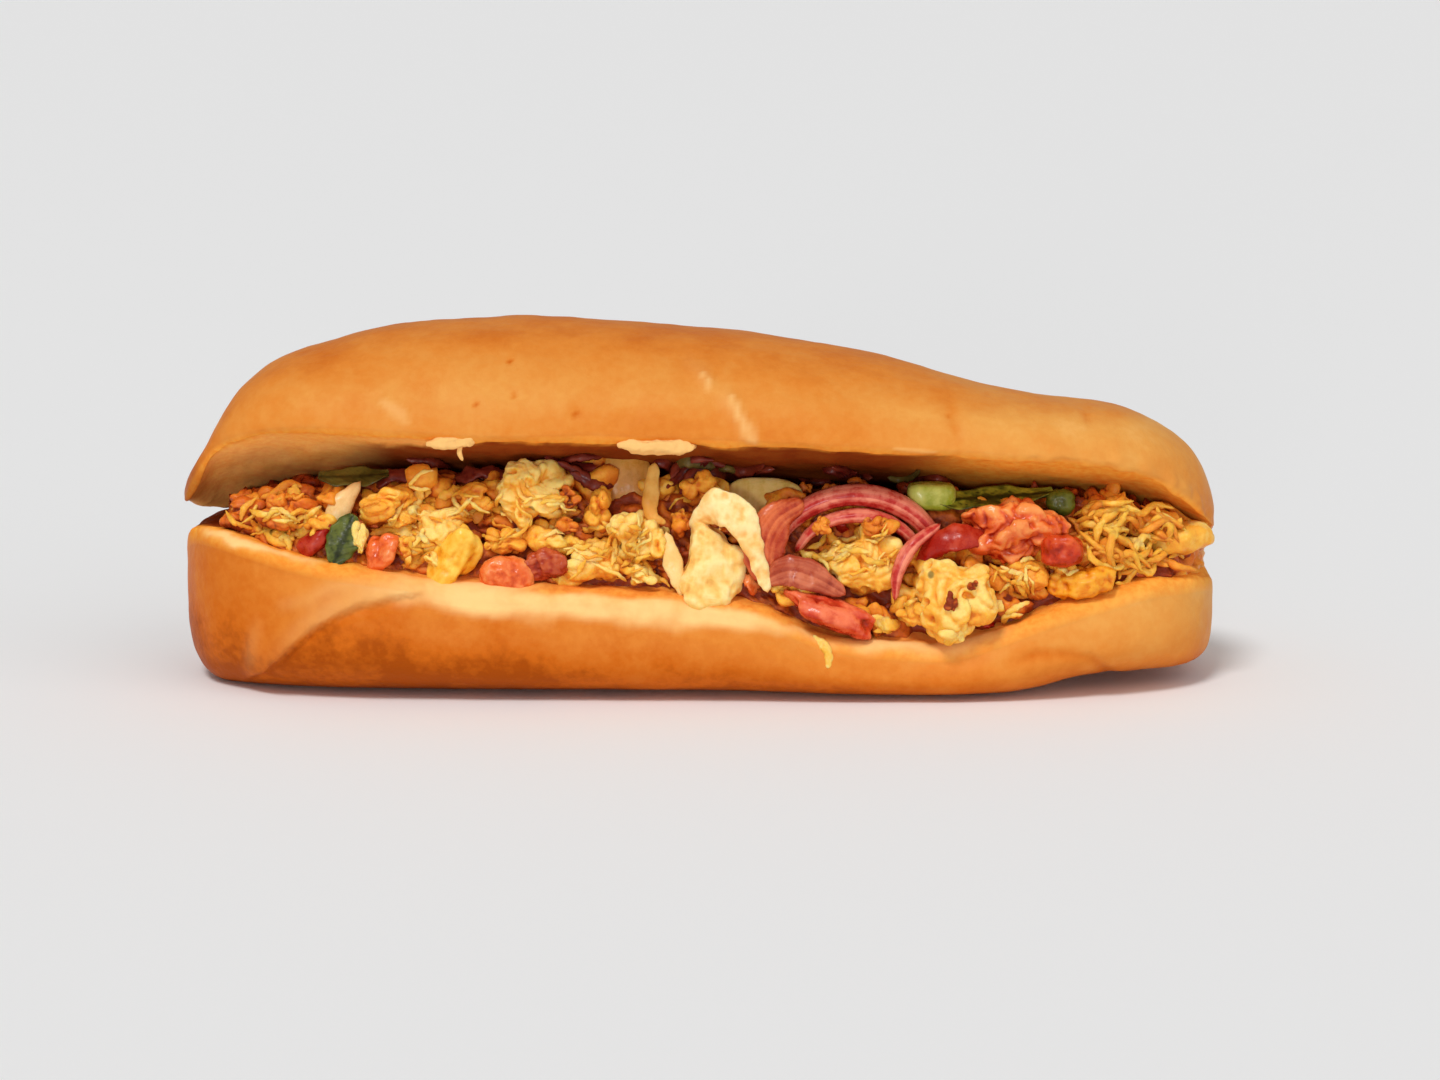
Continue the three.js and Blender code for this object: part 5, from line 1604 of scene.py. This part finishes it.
# Lighter and deeper than a topping's main colour, roughness, how lined, how far light goes in
TOPPING_FINISH = {
    "tomato": ((250, 160, 90), (180, 44, 10), 0.24, 0.0, 0.1),
    "tomato_skin": ((196, 66, 34), (84, 8, 6), 0.3, 0.0, 0.1),
    "pink_onion": ((244, 148, 118), (124, 8, 14), 0.3, 0.5, 0.12),
    "dark_onion": ((134, 52, 30), (46, 8, 8), 0.36, 0.2, 0.1),
    "white_onion": ((244, 214, 140), (150, 106, 44), 0.3, 0.15, 0.2),
    "yellow_pepper": ((255, 214, 92), (214, 116, 18), 0.32, 0.1, 0.1),
    "green_pepper": ((216, 220, 110), (104, 116, 20), 0.28, 0.15, 0.1),
    "omelette": ((255, 232, 168), (222, 136, 46), 0.4, 0.0, 0.25),
    "herb": ((110, 116, 30), (28, 30, 6), 0.4, 0.0, 0.05),
}
# Toppings with colours of their own: lighter, main and deeper
OWN_COLOURS = {
    "tomato_heart": ((226, 96, 40), (194, 52, 14), (126, 14, 4)),
    "tomato_chunk": ((246, 158, 82), (224, 92, 34), (156, 24, 8)),
    "tomato_skin_middle": ((200, 96, 52), (166, 48, 20), (96, 12, 6)),
    "tomato_lip": ((246, 130, 84), (208, 60, 30), (130, 12, 8)),
    "white_onion_finger": ((246, 208, 144), (226, 176, 108), (176, 108, 50)),
    "white_onion_slice_left": ((228, 170, 84), (206, 144, 60), (146, 88, 28)),
    "yellow_pepper_right": ((246, 176, 44), (228, 128, 12), (176, 70, 6)),
    "herb_leaf_left": ((104, 112, 36), (54, 62, 14), (20, 24, 4)),
    # Darker than the other leaves, as painted shade under the lid
    "herb_leaf_upper_left": ((116, 104, 40), (78, 70, 22), (34, 28, 8)),
    "herb_leaf_right": ((190, 190, 56), (66, 72, 18), (26, 28, 6)),
    "herb_shreds": ((122, 100, 44), (88, 72, 28), (44, 32, 12)),
    "onion_wall": ((220, 112, 62), (178, 60, 30), (108, 18, 8)),
    "onion_petal": ((206, 112, 76), (170, 70, 44), (118, 28, 14)),
    "omelette_strip": ((242, 188, 96), (228, 156, 60), (180, 98, 28)),
    "egg_white_block": ((255, 232, 162), (250, 198, 104), (212, 126, 40)),
    "omelette_corner": ((254, 220, 150), (246, 194, 112), (206, 130, 56)),
}


def topping_finish(context, slot, name):
    """The material of one kind of topping, made when it is first asked for."""
    light, deep, rough, lined, glow = TOPPING_FINISH[slot]
    colours = linear(*light), tuple(getattr(context.scene.sandwich_toppings, slot)), linear(*deep)
    if name in OWN_COLOURS:
        colours = [linear(*colour) for colour in OWN_COLOURS[name]]
    else:
        name = slot
    made = bpy.data.materials.get(f"cooked_{name}")
    return made or wet_finish(f"cooked_{name}", *colours, rough, lined, glow)


def food_trees():
    """Search trees: of the egg that fills between the large curds, of all the egg, of the bread and
    toppings that may cover it, and of all that lines the mouth, the bread and the egg."""
    pieces = bpy.context.scene.objects
    fill = [pieces[name] for name in ("egg_core", "curds_medium", "curds_small")]
    egg = [*fill, pieces["curds_large"], pieces["curds_accent"]]
    bread = pieces["bread"]
    cooked = [piece for piece in pieces if piece.name.startswith("cooked")]
    return tree_of(fill), tree_of(egg), tree_of([bread, *cooked]), tree_of([bread, *egg])


# How much more orange the small curds are, and how far in mm they lie behind the middling ones
SMALL_CURD_TINT = 0.26
SMALL_CURD_SHIFT = (0, 2, 0)

# The stage: half the floor's side in mm, the lamps' names, spreads and turns in degrees, the
# camera's sensor in mm, how far it sees and the place that it looks at, both in metres
FLOOR_REACH = 10000.0
LAMPS = (("key", 16, (34, 0, -24)), ("fill", 60, (62, 0, 48)), ("front", 8, (86, 0, -10)))
SENSOR_WIDTH = 36
CAMERA_REACH = 100
AIM = (0.004, 0.0, 0.0266)


# Operators
class MakeBread(bpy.types.Operator):
    """Make the slit roll and the torn flakes on its upper rim"""
    bl_idname = "sandwich.bread"
    bl_label = "Bread"

    def execute(self, context):
        baked = bread_finish(context.scene.sandwich_bread)
        base = half_roll(base_section, BASE_PLAN, BASE_TAPER, True, BASE_DETAIL)
        lid = half_roll(lid_section, LID_PLAN, LID_TAPER, False, LID_DETAIL)
        points, faces, layers = united([base, lid], ("crumb", "bake", "soak", "pale", "stain"))
        shape = softened_hinge(points, faces), faces, layers
        put("bread", shape, baked, ["roll"])
        points, faces, _ = flakes()
        masks = {"crumb": 0.0, "bake": 0.2, "soak": 0.0, "pale": 0.6, "stain": 0.0}
        layers = {key: np.full(len(points), value) for key, value in masks.items()}
        put("torn_flakes", (points, faces, layers), baked, ["roll"])
        return {"FINISHED"}


class MakeEgg(bpy.types.Operator):
    """Make the soaked core of the heap, dark partly as painted shade between the curds, and the
    curds that cover it
    """
    bl_idname = "sandwich.egg"
    bl_label = "Scrambled egg"

    def execute(self, context):
        look = context.scene.sandwich_egg
        egg = egg_finish(look)
        fine = [curd for curd in MAIN_CURDS if curd[1][0] > FINE_CURD]
        rest = [curd for curd in MAIN_CURDS if curd[1][0] <= FINE_CURD]

        def put_egg(name, shape):
            """Places one piece of the scramble."""
            put(name, shape, egg, ["egg_scramble"])

        put_egg("egg_core", heap_skin())
        put_egg("curds_large", curds(
            *zip(*fine), detail=6, folds=22, seed=1, grain=4.2, crags=0.8))
        put_egg("curds_accent", curds(
            *zip(*rest, *ACCENT_CURDS), detail=5, folds=16, seed=2, grain=3.6, crags=0.6))
        pieces = context.scene.objects
        seen = tree_of([piece for piece in pieces if piece.name.startswith(("cooked", "curds"))])
        at, half, tint = strewn(look.curds, rows=3, sizes=(3.6, 6), seed=11, toppings=seen)
        put_egg("curds_medium", curds(
            at, half, clustered(at, tint), detail=4, folds=10, seed=12, grain=3.4, crags=0.5))
        columns = int(1.2 * look.curds)
        at, half, tint = strewn(columns, rows=5, sizes=(1.6, 2.8), seed=13, toppings=seen)
        tint = SMALL_CURD_TINT + clustered(at, tint)
        put_egg("curds_small", curds(
            at + SMALL_CURD_SHIFT, half, tint, detail=3, folds=8, seed=14, grain=2.4, crags=0.3))
        return {"FINISHED"}


class MakeToppings(bpy.types.Operator):
    """Make the tomato, onion, pepper, omelette and herb pieces"""
    bl_idname = "sandwich.toppings"
    bl_label = "Toppings"

    def execute(self, context):
        for name, slot, shape, sizes in TOPPINGS:
            look = topping_finish(context, slot, name)
            put(f"cooked_{name}", shape(**sizes), look, [name])
        return {"FINISHED"}


class MakeLooseBits(bpy.types.Operator):
    """Make the shreds, slivers and small pieces that lie loose on the heap"""
    bl_idname = "sandwich.loose_bits"
    bl_label = "Loose bits"

    def execute(self, context):
        moist = bpy.data.materials["scrambled_egg"]
        food, egg, covers, inside = food_trees()
        spots = looked_at(food, covers, count=12, span=(-80, 92), rise=(0.0, 0.5), seed=44)
        skins = looked_at(food, covers, count=12, span=(-80, 92), rise=(0.0, 0.7), seed=46)
        strips = [shreds(food, covers, **row) for row in FLAT_STRIPS]
        strips += [shreds(egg, covers, **row) for row in FINE_STRIPS]
        bread = tree_of([context.scene.objects["bread"]])
        kinds = (
            ("egg_shreds", "egg", join([*strips, drip(bread), tongue()])),
            ("onion_shreds", "dark_onion", shreds(inside, covers, **ONION_SLIVERS)),
            ("herb_shreds", "herb", shreds(inside, covers, **HERB_SLIVERS)),
            ("tomato_bits", "tomato", crumbs(*spots, sizes=(1.0, 2.2), flat=0.4, seed=45)),
            ("tomato_skin_bits", "tomato_skin", crumbs(
                *skins, sizes=(0.9, 1.9), flat=0.3, seed=47)),
        )
        for name, slot, shape in kinds:
            look = moist if slot == "egg" else topping_finish(context, slot, name)
            put(name, shape, look, ["egg_scramble"])
        return {"FINISHED"}


class MakeStage(bpy.types.Operator):
    """Set the floor, the lights and the camera"""
    bl_idname = "sandwich.stage"
    bl_label = "Stage"

    def execute(self, context):
        look, scene = context.scene.sandwich_stage, context.scene
        paint, *_ = finish("floor_paint", Roughness=0.9, Base_Color=(*look.floor, 1))
        corners = np.array([(-1, -1, 0), (1, -1, 0), (1, 1, 0), (-1, 1, 0)]) * FLOOR_REACH
        floor = put("floor", (corners, np.array([(0, 1, 2), (0, 2, 3)]), {}))
        floor.data.materials.append(paint)
        world = bpy.data.worlds.new("pale_room")
        world.use_nodes = True
        air = world.node_tree.nodes["Background"].inputs
        air["Color"].default_value = (1, 1, 1, 1)
        air["Strength"].default_value = look.sky
        scene.world = world
        for name, spread, turn in LAMPS:
            light = bpy.data.lights.new(name, "SUN")
            light.energy = getattr(look, name)
            light.angle = math.radians(spread)
            lamp = bpy.data.objects.new(name, light)
            lamp.rotation_euler = [math.radians(angle) for angle in turn]
            scene.collection.objects.link(lamp)
        camera = bpy.data.objects.new("camera", bpy.data.cameras.new("camera"))
        camera.data.lens = look.lens
        camera.data.sensor_width = SENSOR_WIDTH
        camera.data.clip_end = CAMERA_REACH
        back, up = math.cos(look.elevation), math.sin(look.elevation)
        camera.location = (AIM[0], AIM[1] - look.distance * back, AIM[2] + look.distance * up)
        camera.rotation_euler = (math.pi / 2 - look.elevation, 0, 0)
        scene.collection.objects.link(camera)
        scene.camera = camera
        scene.view_settings.view_transform = "Standard"
        return {"FINISHED"}


class SandwichPanel(bpy.types.Panel):
    """The steps that make the sandwich, in order"""
    bl_idname = "VIEW3D_PT_sandwich"
    bl_label = "Sandwich"
    bl_space_type = "VIEW_3D"
    bl_region_type = "UI"
    bl_category = "Sandwich"

    def draw(self, context):
        for step in STEPS:
            self.layout.operator(step.bl_idname)


LOOKS = {
    "sandwich_bread": BreadLook, "sandwich_egg": EggLook, "sandwich_toppings": ToppingLook,
    "sandwich_stage": StageLook,
}
STEPS = (MakeStage, MakeBread, MakeToppings, MakeEgg, MakeLooseBits)


def register():
    """Adds the classes, and their settings to the scene."""
    for made in (*LOOKS.values(), *STEPS, SandwichPanel):
        bpy.utils.register_class(made)
    for name, look in LOOKS.items():
        setattr(bpy.types.Scene, name, bpy.props.PointerProperty(type=look))


def unregister():
    """Takes away what register adds."""
    for name in LOOKS:
        delattr(bpy.types.Scene, name)
    for made in reversed((*LOOKS.values(), *STEPS, SandwichPanel)):
        bpy.utils.unregister_class(made)


def main():
    """Makes the stage and the sandwich."""
    register()
    bpy.ops.sandwich.stage()
    bpy.ops.sandwich.bread()
    bpy.ops.sandwich.toppings()
    bpy.ops.sandwich.egg()
    bpy.ops.sandwich.loose_bits()
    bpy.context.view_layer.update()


if __name__ == "__main__":
    main()
